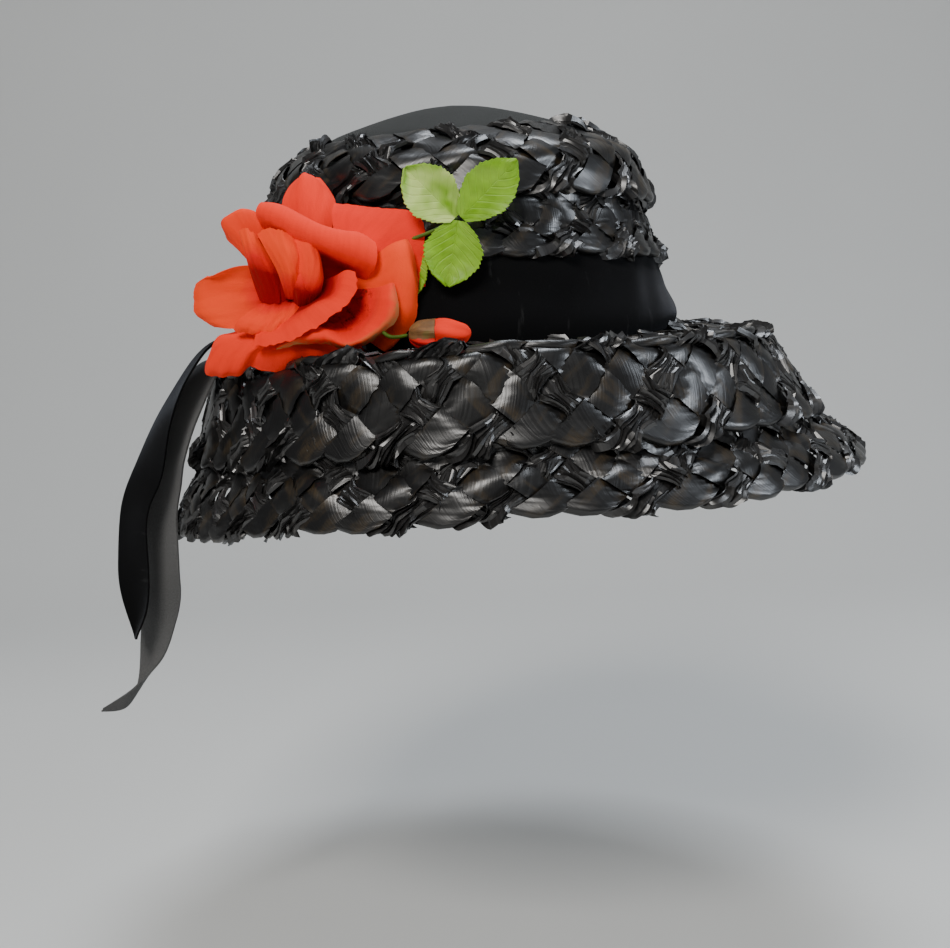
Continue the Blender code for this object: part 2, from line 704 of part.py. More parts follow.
def turned_egg(name, sections, material):
    """A round solid about the bud's long line: (place along, radius) from end to end."""
    sides = BUD_SIDES
    centre, way = bud_frame()
    up = Vector((0.0, 0.0, 1.0))
    out = way.cross(up)
    mesh = bpy.data.meshes.new(name)
    shape = bmesh.new()
    rings = []
    for along, radius in sections:
        ring = []
        for k in range(sides):
            angle = 2.0 * math.pi * k / sides
            spot = centre + way * along + (up * math.sin(angle) + out * math.cos(angle)) * radius
            ring.append(shape.verts.new(spot))
        rings.append(ring)
    for low, high in zip(rings, rings[1:]):
        for k in range(sides):
            m = (k + 1) % sides
            shape.faces.new((low[k], low[m], high[m], high[k]))
    shape.faces.new(rings[0])
    shape.faces.new(rings[-1])
    bmesh.ops.recalc_face_normals(shape, faces=shape.faces)
    shape.to_mesh(mesh)
    shape.free()
    mesh.shade_smooth()
    mesh.set_sharp_from_angle(angle=math.radians(50.0))
    return add_object(name, mesh, material)


def rosebud(petal_material, cap_material):
    cap = [(-CAP_LENGTH * along, BUD_RADIUS * radius) for along, radius in CAP_SECTIONS]
    tip = [(SEAT_GAP + BUD_LENGTH * along, BUD_RADIUS * radius) for along, radius in BUD_SECTIONS]
    turned_egg("rosebud_cap", cap, cap_material)
    turned_egg("rosebud_petals", tip, petal_material)


def bud_stem(material):
    centre, way = bud_frame()
    end = centre - way * (CAP_LENGTH + SEAT_GAP)
    start = rose_point(116.0, STEM_START, -STEM_RADIUS - 3.0 * SEAT_GAP)
    clear = band_reach(BUD_AZIMUTH, end.z) + BUD_STEM_CLEARANCE
    middle = outwards(0.5 * (BUD_AZIMUTH + ROSE_AZIMUTH) + BUD_STEM_TURN) * clear
    middle.z = 0.5 * (start.z + end.z)
    return wire("bud_stem", smooth_route([start, middle, end - way * BUD_STEM_RUN, end], 3), material)


def ribbon_tail(name, table, material):
    """A flat ribbon from the band, over the ridge and down beside the brim, with a pointed end."""
    out = outwards(TAIL_START_AZIMUTH)
    back = -sideways(TAIL_START_AZIMUTH)
    start = out * (oval(TAIL_START_AZIMUTH) + BAND_BELLY * BAND_BULGE + VELVET_WALL + 2.0 * SEAT_GAP)
    points = []
    for row in table:
        spot = start + out * (row[0] * TAIL_LENGTH) + back * (row[1] * TAIL_LENGTH)
        spot.z = row[2] * TAIL_LENGTH + TAIL_STANDOFF
        points.append(spot)
    steps = 2
    route = smooth_route(points, steps)
    grid = []
    for i, spot in enumerate(route):
        place = min(i / steps, len(table) - 1.0)
        low = table[int(place)]
        high = table[min(int(place) + 1, len(table) - 1)]
        share = place - int(place)
        turn, climb, width = (a + (b - a) * share for a, b in zip(low[3:], high[3:]))
        level = sideways(TAIL_START_AZIMUTH + turn)
        slope = math.radians(climb)
        across = level * math.cos(slope) + Vector((0.0, 0.0, 1.0)) * math.sin(slope)
        half = 0.5 * width * RIBBON_WIDTH
        grid.append([spot + across * half * side for side in (-1.0, 0.0, 1.0)])
    return thick_sheet(name, grid, RIBBON_WALL, material)


def build():
    clear_scene()
    cloth = finish_of("crown cloth", (0.020, 0.024, 0.022), 0.85, 0.3)
    straw = finish_of("black straw", (0.010, 0.009, 0.009), 0.28)
    velvet = finish_of("black velvet", (0.004, 0.004, 0.004), 0.95, 0.5)
    reverse = finish_of("ribbon reverse", (0.060, 0.062, 0.062), 0.80)
    coral = finish_of("coral cloth", (0.74, 0.065, 0.035), 0.75)
    green = finish_of("leaf cloth", (0.27, 0.46, 0.04), 0.55)
    husk = finish_of("bud husk", (0.22, 0.13, 0.04), 0.60)
    crown_cloth(cloth)
    turned_wall("crown_upper_row", upper_crown_line, STRAW_WALL, AROUND_CROWN, straw, True)
    turned_wall("crown_lower_row", lower_crown_line, STRAW_WALL, AROUND_CROWN, straw, True)
    turned_wall("hat_band", band_line, VELVET_WALL, AROUND_BAND, velvet)
    turned_wall("brim_shelf_row", shelf_line, STRAW_WALL, AROUND_BRIM, straw, True, True)
    turned_wall("brim_upper_row", upper_brim_line, STRAW_WALL, AROUND_BRIM, straw, True)
    turned_wall("brim_lower_row", lower_brim_line, STRAW_WALL, AROUND_BRIM, straw, True)
    rose_receptacle(coral)
    for row in PETALS:
        rose_petal(row, coral)
    for row in LEAVES:
        thick_sheet(row[0], leaf_grid(row, LEAF_STANDOFF), LEAF_WALL, green)
    thick_sheet(SMALL_LEAF[0], leaf_grid(SMALL_LEAF, SMALL_LEAF_STANDOFF), LEAF_WALL, green)
    leaf_stem(green)
    rosebud(coral, husk)
    bud_stem(green)
    ribbon_tail("ribbon_tail_velvet", VELVET_TAIL, velvet)
    ribbon_tail("ribbon_tail_reverse", REVERSE_TAIL, reverse)


build()
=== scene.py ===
"""Wide brim straw hat: the looks of the hat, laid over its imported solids.

The wearer looks along -Y, the origin is the middle of the head opening and sizes are in metres.
Azimuths are in degrees from the front and turn towards +X."""

import math

import bpy
import numpy as np
from bpy.props import FloatProperty, FloatVectorProperty, PointerProperty
from mathutils import Matrix, Vector


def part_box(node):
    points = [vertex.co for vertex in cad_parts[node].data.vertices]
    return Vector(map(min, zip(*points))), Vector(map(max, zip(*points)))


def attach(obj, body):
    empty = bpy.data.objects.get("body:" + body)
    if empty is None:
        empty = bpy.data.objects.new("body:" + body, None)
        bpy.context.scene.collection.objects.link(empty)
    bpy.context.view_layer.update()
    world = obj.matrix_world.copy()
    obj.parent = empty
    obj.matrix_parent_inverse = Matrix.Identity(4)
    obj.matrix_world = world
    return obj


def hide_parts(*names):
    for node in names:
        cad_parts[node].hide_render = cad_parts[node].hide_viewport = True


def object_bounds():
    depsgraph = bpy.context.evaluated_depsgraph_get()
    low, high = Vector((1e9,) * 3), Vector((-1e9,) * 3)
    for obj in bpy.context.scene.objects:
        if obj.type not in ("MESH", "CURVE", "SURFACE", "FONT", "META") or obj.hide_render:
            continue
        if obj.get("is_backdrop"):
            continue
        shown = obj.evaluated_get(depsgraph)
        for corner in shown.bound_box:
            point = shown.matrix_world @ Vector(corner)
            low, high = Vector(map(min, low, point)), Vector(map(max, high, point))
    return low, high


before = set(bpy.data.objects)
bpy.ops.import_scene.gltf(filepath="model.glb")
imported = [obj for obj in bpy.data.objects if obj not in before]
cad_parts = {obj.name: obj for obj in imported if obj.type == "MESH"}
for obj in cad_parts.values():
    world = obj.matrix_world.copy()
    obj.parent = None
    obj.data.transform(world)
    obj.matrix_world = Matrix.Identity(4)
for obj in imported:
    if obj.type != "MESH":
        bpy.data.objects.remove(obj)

bl_info = {
    "name": "Wide brim straw hat",
    "version": (1, 0, 0),
    "blender": (4, 5, 0),
    "location": "3D View > Sidebar > Hat",
    "description": "Models the plaited straw, velvet, rose and ribbons of a wide brim hat",
    "category": "Object",
}

# The solids' own sizes, which the pieces here follow
CLOTH_LOW, CLOTH_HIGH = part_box("crown_cloth")
HALF_WIDTH = CLOTH_HIGH[0]
HALF_LENGTH = CLOTH_HIGH[1]
CROWN_HEIGHT = CLOTH_HIGH[2]
CROWN_SKIRT = -CLOTH_LOW[2]
CLOTH_WALL = 0.0015
STRAW_WALL = 0.0020
VELVET_WALL = 0.0020
LEAF_WALL = 0.0010
SEAT_GAP = 0.0003
UPPER_ROW_TOP = 0.0985
TOP_SLANT = 0.006
TOP_SLANT_FROM = 60.0
UPPER_ROW_WIDTH = 0.033
LOWER_ROW_WIDTH = 0.027
ROW_SLANT = 0.018
ROW_SLANT_FROM = -20.0
ROW_FLARE = 0.0052
SHOULDER_BULGE = 0.0040
BAND_TUCK = 0.004
BAND_BULGE = 0.0080
SHELF_WIDTH = 0.050
RIDGE_RISE = 0.010
UPPER_SLOPE_FLARE = 0.020
UPPER_SLOPE_DROP = 0.040
LOWER_SLOPE_FLARE = 0.020
LOWER_SLOPE_DROP = 0.030
SHELF_OVERHANG = 0.0035
ROW_TUCK = 0.009
SCALLOP_DEPTH = 0.0030
ROSE_AZIMUTH = -54.0
ROSE_HEIGHT = 0.027
ROSE_TILT = 14.0
RECEPTACLE_RADIUS = 0.0145
RECEPTACLE_LENGTH = 0.0125
RECEPTACLE_STANDOFF = 0.0040
LEAF_LENGTH = 0.031
LEAF_STANDOFF = 0.0150
STEM_RADIUS = 0.0008
BUD_LENGTH = 0.0150
BUD_RADIUS = 0.0066
CAP_LENGTH = 0.0110
BUD_AZIMUTH = -23.5
BUD_PLACE = 0.496
LEAF_STEM_BEND = 0.0095
BUD_STEM_CLEARANCE = 0.006
BUD_STEM_RUN = 0.008
BUD_STEM_TURN = 1.0
RIBBON_WIDTH = 0.024
TAIL_LENGTH = 0.215
TAIL_STANDOFF = 0.0012
TAIL_START_AZIMUTH = -62.0

# Height and reach of the crown's cloth from the tip down, as shares of the crown's height and base
CROWN_PROFILE = (
    (1.000, 0.00),
    (0.984, 0.16),
    (0.950, 0.31),
    (0.915, 0.43),
    (0.868, 0.57),
    (0.800, 0.735),
    (0.735, 0.850),
    (0.660, 0.892),
    (0.560, 0.905),
    (0.300, 0.965),
    (0.000, 1.000),
)

# The brim round the head: azimuth, then shares of the shelf's width, of its rise and of the slopes'
# flares and drops
BRIM_SECTIONS = (
    (-180.0, 0.96, -0.80, 0.60, 0.95, 0.70, 0.93),
    (-145.0, 0.76, -1.30, 0.50, 1.00, 0.60, 1.05),
    (-108.0, 0.58, -1.60, 0.50, 1.02, 0.55, 1.18),
    (-75.0, 0.66, -0.95, 0.45, 1.02, 0.50, 1.12),
    (-40.0, 0.86, 0.10, 0.40, 1.03, 0.50, 1.05),
    (-10.0, 0.96, 0.50, 0.42, 1.03, 0.50, 0.98),
    (25.0, 1.04, 0.10, 0.70, 1.02, 0.85, 0.93),
    (72.0, 1.09, -0.65, 1.00, 0.89, 1.10, 0.95),
    (125.0, 1.06, -0.80, 0.85, 0.93, 0.90, 0.92),
)

# Petals of the rose: rows of points from foot to tip, in millimetres to the right, forwards and up
# from the rose's foot, as seen square to VIEW_AZIMUTH
VIEW_AZIMUTH = -18.0
PETALS = {
    "standing_top": (
        ((-7.1, 7.6, 13.6), (-4, 8.6, 13.4), (-1.4, 8.6, 13.3), (1.1, 7.6, 13.1), (3.6, 6.6, 13)),
        ((-13.8, 5.6, 26.8), (-8.4, 7.6, 26.5), (-3.1, 8.6, 27.1), (2.1, 8.6, 27.7), (6.3, 6.6, 28.3)),
        ((-15.1, 1.6, 38.4), (-9.6, 4.6, 39), (-3.4, 5.6, 39.1), (2.5, 4.6, 38.4), (7.9, 1.6, 37.7)),
        ((-12.5, -3.4, 45.7), (-8.2, -1.4, 48.4), (-3.7, -0.4, 49.5), (1.3, -1.4, 47.5), (5.7, -3.4, 42.6)),
        ((-9, -6.4, 49.4), (-6.7, -5.4, 50.6), (-4, -5.4, 51.3), (-1.4, -5.4, 50.3), (1.4, -6.4, 48.5)),
    ),
    "broad_right": (
        ((1.9, 8.6, 11.4), (4.6, 10.6, 10.5), (6.3, 11.6, 7.8), (6.8, 10.6, 4.3), (5.6, 8.6, 0.9)),
        ((6.9, 12.6, 23.3), (13.3, 16.6, 19.6), (18.4, 19.6, 15.2), (19.7, 19.6, 9.1), (17.4, 17.6, 0.7)),
        ((6.8, 9.6, 33.4), (21.6, 15.6, 29.3), (33.4, 20.6, 23.7), (35.5, 22.6, 14.3), (32.9, 21.6, 0)),
        ((7.6, 6, 38.4), (27.8, 13.6, 34.9), (44.8, 19.6, 30.3), (45.8, 21.6, 15.5), (45.4, 20.6, 1)),
    ),
    "front_right": (
        ((7.2, 11.6, 8.7), (8.7, 12.6, 5.2), (9.8, 12.6, 1.7), (8.7, 11.6, -2.2), (6.1, 9.6, -6)),
        ((20, 21.6, 11.7), (22.2, 23.6, 4.1), (23.5, 24.6, -3.6), (21.2, 22.6, -11.2), (14.6, 18.6, -17.2)),
        ((30.8, 25.6, 18.9), (32, 29.6, 8), (33, 30.6, -3.8), (29.9, 28.6, -13), (20.6, 23.6, -21.4)),
        ((37.2, 24.6, 21), (39.3, 29.6, 10.1), (38.9, 29.6, -4.1), (34.8, 27.6, -15), (24.7, 22.6, -24.7)),
        ((38.8, 20.6, 20.9), (42.2, 24.6, 10.7), (41.7, 24.6, -4.5), (37.5, 22.6, -17.2), (27, 18.6, -26.4)),
    ),
    "rolled_top": (
        ((-9, 13.6, 9.6), (-6.3, 14.6, 9.5), (-3.7, 15.6, 9.4),
         (-0.3, 15.6, 8.3), (2.9, 14.6, 6.4), (5.2, 12.6, 3.6)),
        ((-19.8, 15.6, 24.7), (-11.5, 15.6, 20.8), (-3.1, 15.6, 17.9),
         (5.3, 16.6, 14), (12.8, 17.6, 9.4), (17.6, 18.6, 3.3)),
        ((-23.3, 21.6, 32.1), (-14.9, 24.6, 27.5), (-4.9, 26.6, 22),
         (6.3, 28.6, 17.3), (16.2, 29.6, 12.6), (24, 28.6, 9.2)),
        ((-24, 24.6, 36.3), (-14.9, 28.6, 33), (-4.6, 30.6, 27),
         (6.9, 32.6, 21.5), (17.7, 33.6, 18.5), (26.1, 30.6, 15)),
        ((-21.9, 22.6, 39.6), (-12.8, 25.6, 37.8), (-2.9, 27.6, 32.3),
         (8.7, 29.6, 26.8), (18.7, 29.6, 25), (25.4, 26.6, 20.8)),
        ((-19.1, 17.6, 38.2), (-11.8, 19.6, 36.5), (-1.9, 20.6, 31),
         (9, 22.6, 25.4), (18.2, 23.6, 22.8), (22.9, 21.6, 18.3)),
    ),
    "ear_left": (
        ((-18.6, 14.6, 5.8), (-17.6, 15.6, 7.5),
         (-15.7, 15.6, 9.1), (-13.1, 15.6, 10.7), (-10.5, 14.6, 11.4)),
        ((-29, 16.6, 15), (-27.6, 18.6, 19.2), (-24.7, 19.6, 22.4), (-21.2, 19.6, 24), (-18, 17.6, 23.8)),
        ((-33.8, 15.6, 20.3), (-33.8, 18.6, 27.1),
         (-29.8, 20.6, 32), (-25.5, 20.6, 32.6), (-21.8, 18.6, 29)),
        ((-38.2, 12.6, 24.7), (-39.4, 15.6, 32.5),
         (-32.4, 17.6, 37.2), (-26.4, 18.6, 36.4), (-22.7, 16.6, 31.6)),
        ((-38.8, 7.6, 25.9), (-39.5, 8.6, 32.4),
         (-32.9, 10.6, 35.9), (-26.7, 12.6, 34.8), (-24, 12.6, 30.8)),
    ),
    "cupped_left": (
        ((-15.5, 14.6, 8.2), (-16.9, 15.6, 4.9),
         (-17.9, 16.6, 1.6), (-17.4, 15.6, -2.8), (-16.1, 13.6, -6.4)),
        ((-24.6, 18.6, 12.7), (-26.8, 17.6, 7.2),
         (-28.1, 17.6, 1.3), (-27.5, 18.6, -4.7), (-26.1, 19.6, -10.7)),
        ((-32.9, 20.6, 13.6), (-37.9, 17.6, 8.6),
         (-40.2, 16.6, 1.9), (-39.6, 18.6, -4.9), (-35.5, 21.6, -12.6)),
        ((-42.4, 20.6, 11.5), (-48.4, 16.6, 7.4),
         (-50.3, 15.6, 0.6), (-48.8, 17.6, -6.2), (-41.6, 20.6, -12.4)),
        ((-48.7, 16.6, 8.7), (-53.7, 12.6, 6.7),
         (-54.8, 11.6, 0.2), (-53.3, 13.6, -7.1), (-46.4, 16.6, -12)),
    ),
    "lower_left": (
        ((-17.8, 13.6, -5.5), (-16, 14.6, -6.3),
         (-14.3, 15.6, -7.2), (-12.6, 15.6, -7.8), (-11, 14.6, -8.3)),
        ((-36, 17.6, -13.7), (-32.3, 21.6, -16.2),
         (-28.8, 23.6, -18), (-25.3, 24.6, -18.9), (-22, 23.6, -19.2)),
        ((-45.1, 15.6, -16), (-42.3, 20.6, -21.8),
         (-36.9, 23.6, -24.4), (-31.6, 24.6, -23.7), (-26.5, 23.6, -22.4)),
        ((-49.5, 12.6, -22.9), (-49.3, 16.6, -28.7),
         (-43.1, 19.6, -31.3), (-35.8, 21.6, -29.8), (-29.6, 21.6, -26.7)),
        ((-50.7, 9.6, -27.5), (-51, 12.6, -32),
         (-45.7, 14.6, -34.2), (-37.5, 16.6, -32.3), (-31.1, 17.6, -29.5)),
    ),
    "low_front": (
        ((-11.7, 15.6, -8.2), (-9.1, 16.6, -8.7), (-5.7, 16.6, -9.3),
         (-2.3, 16.6, -9.5), (1.2, 16.6, -9.3), (4.6, 15.6, -8.7)),
        ((-26.6, 21.6, -19.9), (-18.4, 25.6, -20.1), (-9.8, 26.6, -20),
         (-0.6, 25.6, -20.6), (7, 23.6, -19.8), (13, 20.6, -18.2)),
        ((-30.4, 20.6, -24.1), (-22.2, 25.6, -25.4), (-12.7, 27.6, -25.8),
         (-2.5, 26.6, -25.5), (7.6, 23.6, -24.1), (16.1, 19.6, -22.7)),
        ((-32.8, 16.6, -27.4), (-25.7, 20.6, -31.3), (-16.1, 22.6, -32.4),
         (-5.7, 22.6, -29.5), (6.2, 19.6, -28.3), (19, 15.6, -27.1)),
    ),
    "lower_lip": (
        ((-9.8, 16.6, -5.7), (-6.3, 17.6, -6.3), (-1.9, 18.6, -6.4),
         (2.5, 18.6, -5.4), (6, 18.6, -3.8), (8.2, 17.6, -1.4), (9.6, 16.6, 1)),
        ((-13.3, 21.6, -14.6), (-4.5, 23.6, -13.3), (4.1, 25.6, -14),
         (11.8, 26.6, -14.8), (18, 27.6, -11.2), (21.8, 27.6, -5), (23, 26.6, 1.6)),
        ((-16.5, 26.6, -18.8), (-6.7, 29.6, -15.3), (2.9, 32.6, -14.7),
         (11.2, 34.6, -18.8), (19.1, 35.6, -15.4), (25.8, 35.6, -7.7), (28, 33.6, 2.5)),
        ((-18.6, 28.6, -21.1), (-7.8, 32.6, -17.5), (2.9, 35.6, -17.5),
         (11.3, 37.6, -21.1), (21.2, 38.6, -17.8), (30.5, 38.6, -9.5), (31.5, 35.6, 3.7)),
        ((-19.5, 25.6, -23), (-8.3, 29.6, -19.9), (2.6, 32.6, -19.8),
         (10.9, 34.6, -23.4), (22.1, 35.6, -20.2), (32.3, 34.6, -11.5), (32.6, 31.6, 3)),
    ),
    "inner_swirl": (
        ((1.8, 17.6, 5.7), (1.7, 18.6, 2.4), (-0.6, 19.6, -0.5),
         (-4.1, 19.6, -2.4), (-8.5, 19.6, -3.9), (-12.9, 18.6, -4.1)),
        ((6.9, 21.6, 7.3), (4.9, 23.6, 0.7), (-1.2, 24.6, -3.2),
         (-8.2, 24.6, -6.2), (-16.1, 24.6, -9.2), (-24.9, 23.6, -12.2)),
        ((12.6, 27.6, 9.8), (7.9, 30.6, -0.8), (-0.6, 32.6, -4),
         (-8.5, 32.6, -9.1), (-17.4, 31.6, -14.2), (-27.6, 28.6, -16.4)),
        ((16.8, 29.6, 8.8), (16.1, 33.6, -0.2), (9.1, 35.6, -6.9),
         (-3.5, 36.6, -14.1), (-14.1, 34.6, -18.8), (-27.7, 30.6, -20.5)),
    ),
    "inner_left": (
        ((-25.4, 20.6, -1.3), (-22.8, 21.6, -2.6), (-19.4, 21.6, -3.2), (-16.8, 21.6, -2.9)),
        ((-28.4, 23.6, 10.9), (-23.9, 26.6, 9.9), (-19.9, 25.6, 8.9), (-16.8, 22.6, 7.7)),
        ((-30.2, 24.6, 20.3), (-26.5, 27.6, 20.2), (-23.3, 26.6, 19.2), (-20.3, 23.6, 17.2)),
        ((-31.9, 23.6, 27.9), (-28.6, 25.6, 29.5), (-26.3, 24.6, 27.7), (-24.2, 22.6, 24.2)),
    ),
    "heart_fold": (
        ((-14.1, 21.6, -0.9), (-12.3, 22.6, -1.4), (-10.2, 22.6, -1.5), (-8.2, 21.6, -1.2)),
        ((-17.1, 25.6, 12.1), (-12.6, 29.6, 10.3), (-9.4, 28.6, 9.3), (-7.2, 24.6, 9.9)),
        ((-21.4, 26.6, 21.6), (-15.2, 30.6, 20.5), (-10.2, 30.6, 18.6), (-6.1, 26.6, 17.4)),
        ((-23.8, 24.6, 26.7), (-19.2, 26.6, 29), (-13.3, 27.6, 27.4), (-7.1, 24.6, 23.3)),
    ),
    "heart_right": (
        ((-9.3, 20.6, -3.8), (-6.6, 21.6, -4.3), (-3.6, 21.6, -4), (-1.2, 19.6, -3.4)),
        ((-8.1, 25.6, 6.6), (-3.6, 29.6, 5.6), (0, 27.6, 5.4), (2.2, 22.6, 5.9)),
        ((-7.4, 26.6, 15.8), (-2, 30.6, 15.7), (1.1, 28.6, 13.8), (2.2, 23.6, 11.9)),
        ((-10.4, 24.6, 24.3), (-5, 27.6, 24.9), (-1.1, 26.6, 22.2), (1.3, 22.6, 17.8)),
    ),
    "heart_left": (
        ((-22.5, 18.6, -6.6), (-19.9, 19.6, -7.1), (-16.9, 19.6, -6.9), (-14.8, 18.6, -6.2)),
        ((-24.8, 21.6, 5.6), (-21.4, 21.6, 4.5), (-17.7, 21.6, 3.5), (-14.3, 21.6, 3.3)),
        ((-24.7, 22.6, 16.6), (-21.8, 22.6, 15.6), (-18.9, 22.6, 14.6), (-16, 22.6, 14.5)),
        ((-25.9, 22.6, 24.3), (-23.2, 23.6, 25), (-20.7, 23.6, 24), (-18.4, 22.6, 22.2)),
    ),
    "heart_core": (
        ((-11.1, 19.6, -4.6), (-9.4, 20.6, -5.5), (-6.8, 20.6, -5.6), (-4.7, 19.6, -4.9)),
        ((-11, 24.6, 2.4), (-7.4, 27.6, 1.5), (-3.7, 26.6, 1.3), (-1, 22.6, 1.8)),
        ((-9.8, 24.6, 8.3), (-6.1, 27.6, 9.1), (-2.5, 25.6, 8), (0, 21.6, 6)),
    ),
    "heart_low": (
        ((-20.8, 16, 1), (-17.2, 17, 0.5), (-14.7, 17, 0), (-11.1, 17, 0), (-6.1, 16, 0)),
        ((-30.4, 24.6, -6.7), (-25.1, 27.6, -8.5),
         (-19.6, 27.6, -8.8), (-14, 27.6, -8.3), (-9.2, 24.6, -7.8)),
        ((-34.8, 25.6, -9.8), (-29.5, 28.6, -12.5),
         (-23.5, 29.6, -13.6), (-17.5, 29.6, -12.2), (-10.9, 26.6, -11)),
        ((-36.1, 23.6, -12.5), (-30.8, 26.6, -15.1),
         (-23.9, 27.6, -15.8), (-17, 27.6, -14.5), (-10.3, 24.6, -12.5)),
    ),
}

# How each petal is finished: ruffle and crease in millimetres, fraying of the edge in millimetres,
# place along the petal where the crimson of painted shade turns coral, share of painted sunlight from
# coral to sunlit, and wear of the edge
PETAL_FINISH = {
    "standing_top": (0.5, 0.06, 0.6, 0.08, 0.30, 0.0),
    "broad_right": (0.7, 0.08, 0.7, 0.22, 0.15, 0.0),
    "front_right": (0.4, 0.06, 0.8, 0.12, 1.00, 0.0),
    "rolled_top": (0.3, 0.05, 0.6, 0.40, 0.35, 0.0),
    "ear_left": (0.4, 0.10, 0.6, 0.25, 0.70, 0.0),
    "cupped_left": (0.5, 0.12, 0.6, 0.22, 1.00, 0.0),
    "lower_left": (0.8, 0.08, 0.8, 0.25, 0.45, 0.0),
    "low_front": (0.8, 0.10, 1.0, 0.40, 0.35, 0.0),
    "lower_lip": (0.6, 0.12, 1.6, 0.50, 0.30, 1.0),
    "inner_swirl": (0.4, 0.08, 1.6, 0.50, 0.35, 0.0),
    "inner_left": (0.4, 0.12, 0.8, 0.62, 1.00, 0.0),
    "heart_fold": (0.4, 0.14, 0.8, 0.22, 0.95, 0.0),
    "heart_right": (0.4, 0.14, 0.8, 0.34, 0.70, 0.0),
    "heart_left": (0.4, 0.14, 0.8, 1.10, 0.00, 0.0),
    "heart_core": (0.4, 0.12, 0.8, 0.80, 0.20, 0.0),
    "heart_low": (1.0, 0.30, 1.0, 0.35, 0.80, 0.0),
}

# Half width of a leaf along its length, as shares of half its full width
LEAF_OUTLINE = ((0.0, 0.26), (0.18, 0.70), (0.42, 1.0), (0.65, 0.92), (0.85, 0.58), (1.0, 0.06))

# Leaves: name, azimuth and height of the start, clock, lean, length and width as shares of a leaf
LEAVES = (
    ("leaf_left", -18.5, 0.502, -42.0, 6.0, 0.96, 0.70, LEAF_STANDOFF),
    ("leaf_right", -17.1, 0.502, 47.0, 8.0, 1.08, 0.66, LEAF_STANDOFF),
    ("leaf_lower", -17.9, 0.491, 192.0, 2.0, 0.90, 0.76, LEAF_STANDOFF),
    ("leaf_under_rose", -29.2, 0.402, 180.0, 1.0, 0.70, 0.42, 0.0099),
)

# Ribbon tails: out, along and up as shares of the tail's length, the way the width points, its climb
# and the width as a share of the ribbon's
VELVET_TAIL = (
    (-0.004, 0.000, 0.030, -6.0, 0.0, 0.60),
    (0.050, 0.072, 0.026, -30.0, 0.0, 0.70),
    (0.102, 0.142, 0.022, -44.0, 0.0, 0.80),
    (0.144, 0.196, -0.036, -40.0, -8.0, 0.88),
    (0.168, 0.258, -0.130, -26.0, -18.0, 0.94),
    (0.174, 0.322, -0.240, -14.0, -14.0, 1.00),
    (0.190, 0.363, -0.335, -4.0, -4.0, 1.00),
    (0.196, 0.368, -0.460, 0.0, 0.0, 0.96),
    (0.198, 0.368, -0.555, 0.0, 0.0, 0.66),
    (0.203, 0.374, -0.620, 0.0, 0.0, 0.10),
)
REVERSE_TAIL = (
    (-0.020, 0.120, 0.012, -4.0, 0.0, 0.56),
    (0.035, 0.150, -0.006, -6.0, 0.0, 0.62),
    (0.096, 0.184, -0.030, -4.0, -2.0, 0.70),
    (0.128, 0.222, -0.115, -6.0, -14.0, 0.78),
    (0.130, 0.272, -0.200, -6.0, -18.0, 0.86),
    (0.130, 0.308, -0.265, -4.0, -10.0, 0.92),
    (0.136, 0.340, -0.345, 0.0, -2.0, 0.98),
    (0.136, 0.350, -0.465, 2.0, 0.0, 1.00),
    (0.138, 0.357, -0.528, 4.0, 4.0, 1.00),
    (0.146, 0.375, -0.600, 4.0, 12.0, 1.00),
    (0.160, 0.397, -0.700, 2.0, 30.0, 0.92),
    (0.192, 0.430, -0.765, 0.0, 48.0, 0.62),
    (0.238, 0.478, -0.792, 0.0, 56.0, 0.14),
)

# The straw rows: node, turns of the plait's pattern round the hat, seed of its unevenness, how far its
# folds stay inside its upper and lower edges, how far its middle lies inside its own wall and how
# far the folds at its lower edge lift off
STRAW_ROWS = (
    ("crown_upper_row", 6, 11, 0.0045, 0.0015, 0.0026, 0.0024),
    ("crown_lower_row", 7, 12, 0.0000, 0.0015, 0.0020, 0.0024),
    ("brim_shelf_row", 8, 13, 0.0000, 0.0095, 0.0004, 0.0020),
    ("brim_upper_row", 10, 14, -0.0034, 0.0012, 0.0008, 0.0030),
    ("brim_lower_row", 11, 15, 0.0000, 0.0040, 0.0008, 0.0026),
)
STRANDS = 5
CRINKLED_STRANDS = (0, 2)
ROW_STEPS = 24
UPWARDS = Vector((0.0, 0.0, 1.0))

# A strand's steps along each crossing of its row and across itself, the steepness of its weave, its
# width as a share of the strand's and the angle from which its edges are crisp
FLAT_STEPS = (50, 4)
CRINKLED_STEPS = (36, 18)
FLAT_STEEPNESS = 5.0
CRINKLED_STEEPNESS = 3.0
FLAT_STRAND_SHARE = 0.97
FLAT_CRISPNESS = 50.0
CRINKLED_CRISPNESS = 20.0

# Folds at a row's edges: easing of the turn, zone as a share of a crossing, reach inwards, lean to one
# side, slip out of line, and the length, sink and reach of a crinkled strand's tips
TURN_EASE = 0.66
FOLD_ZONE = 0.2
FOLD_REACH = 0.007
FOLD_LEAN = 0.25
FOLD_SLIP = 0.0009
TIP_LENGTH = 0.0052
TIP_SINK = 0.0010
TIP_REACH = 0.005

# Squares and tufts where a strand lies on top: the margin round a tilted square, its bow as a share of
# the weave's rise, a tuft's jagged ends, crumple and pinched waist, and the heights of its pleats
TILT_MARGIN = 0.12
FLAT_BOW = 0.06
TUFT_JAG = 0.0016
TUFT_CRUMPLE = 0.0008
TUFT_PINCH = 0.42
PLEAT_LOW = 0.00015
PLEAT_RISE = 0.00010
PLEAT_SPREAD = 0.00045
ROW_WOBBLE = 0.0006

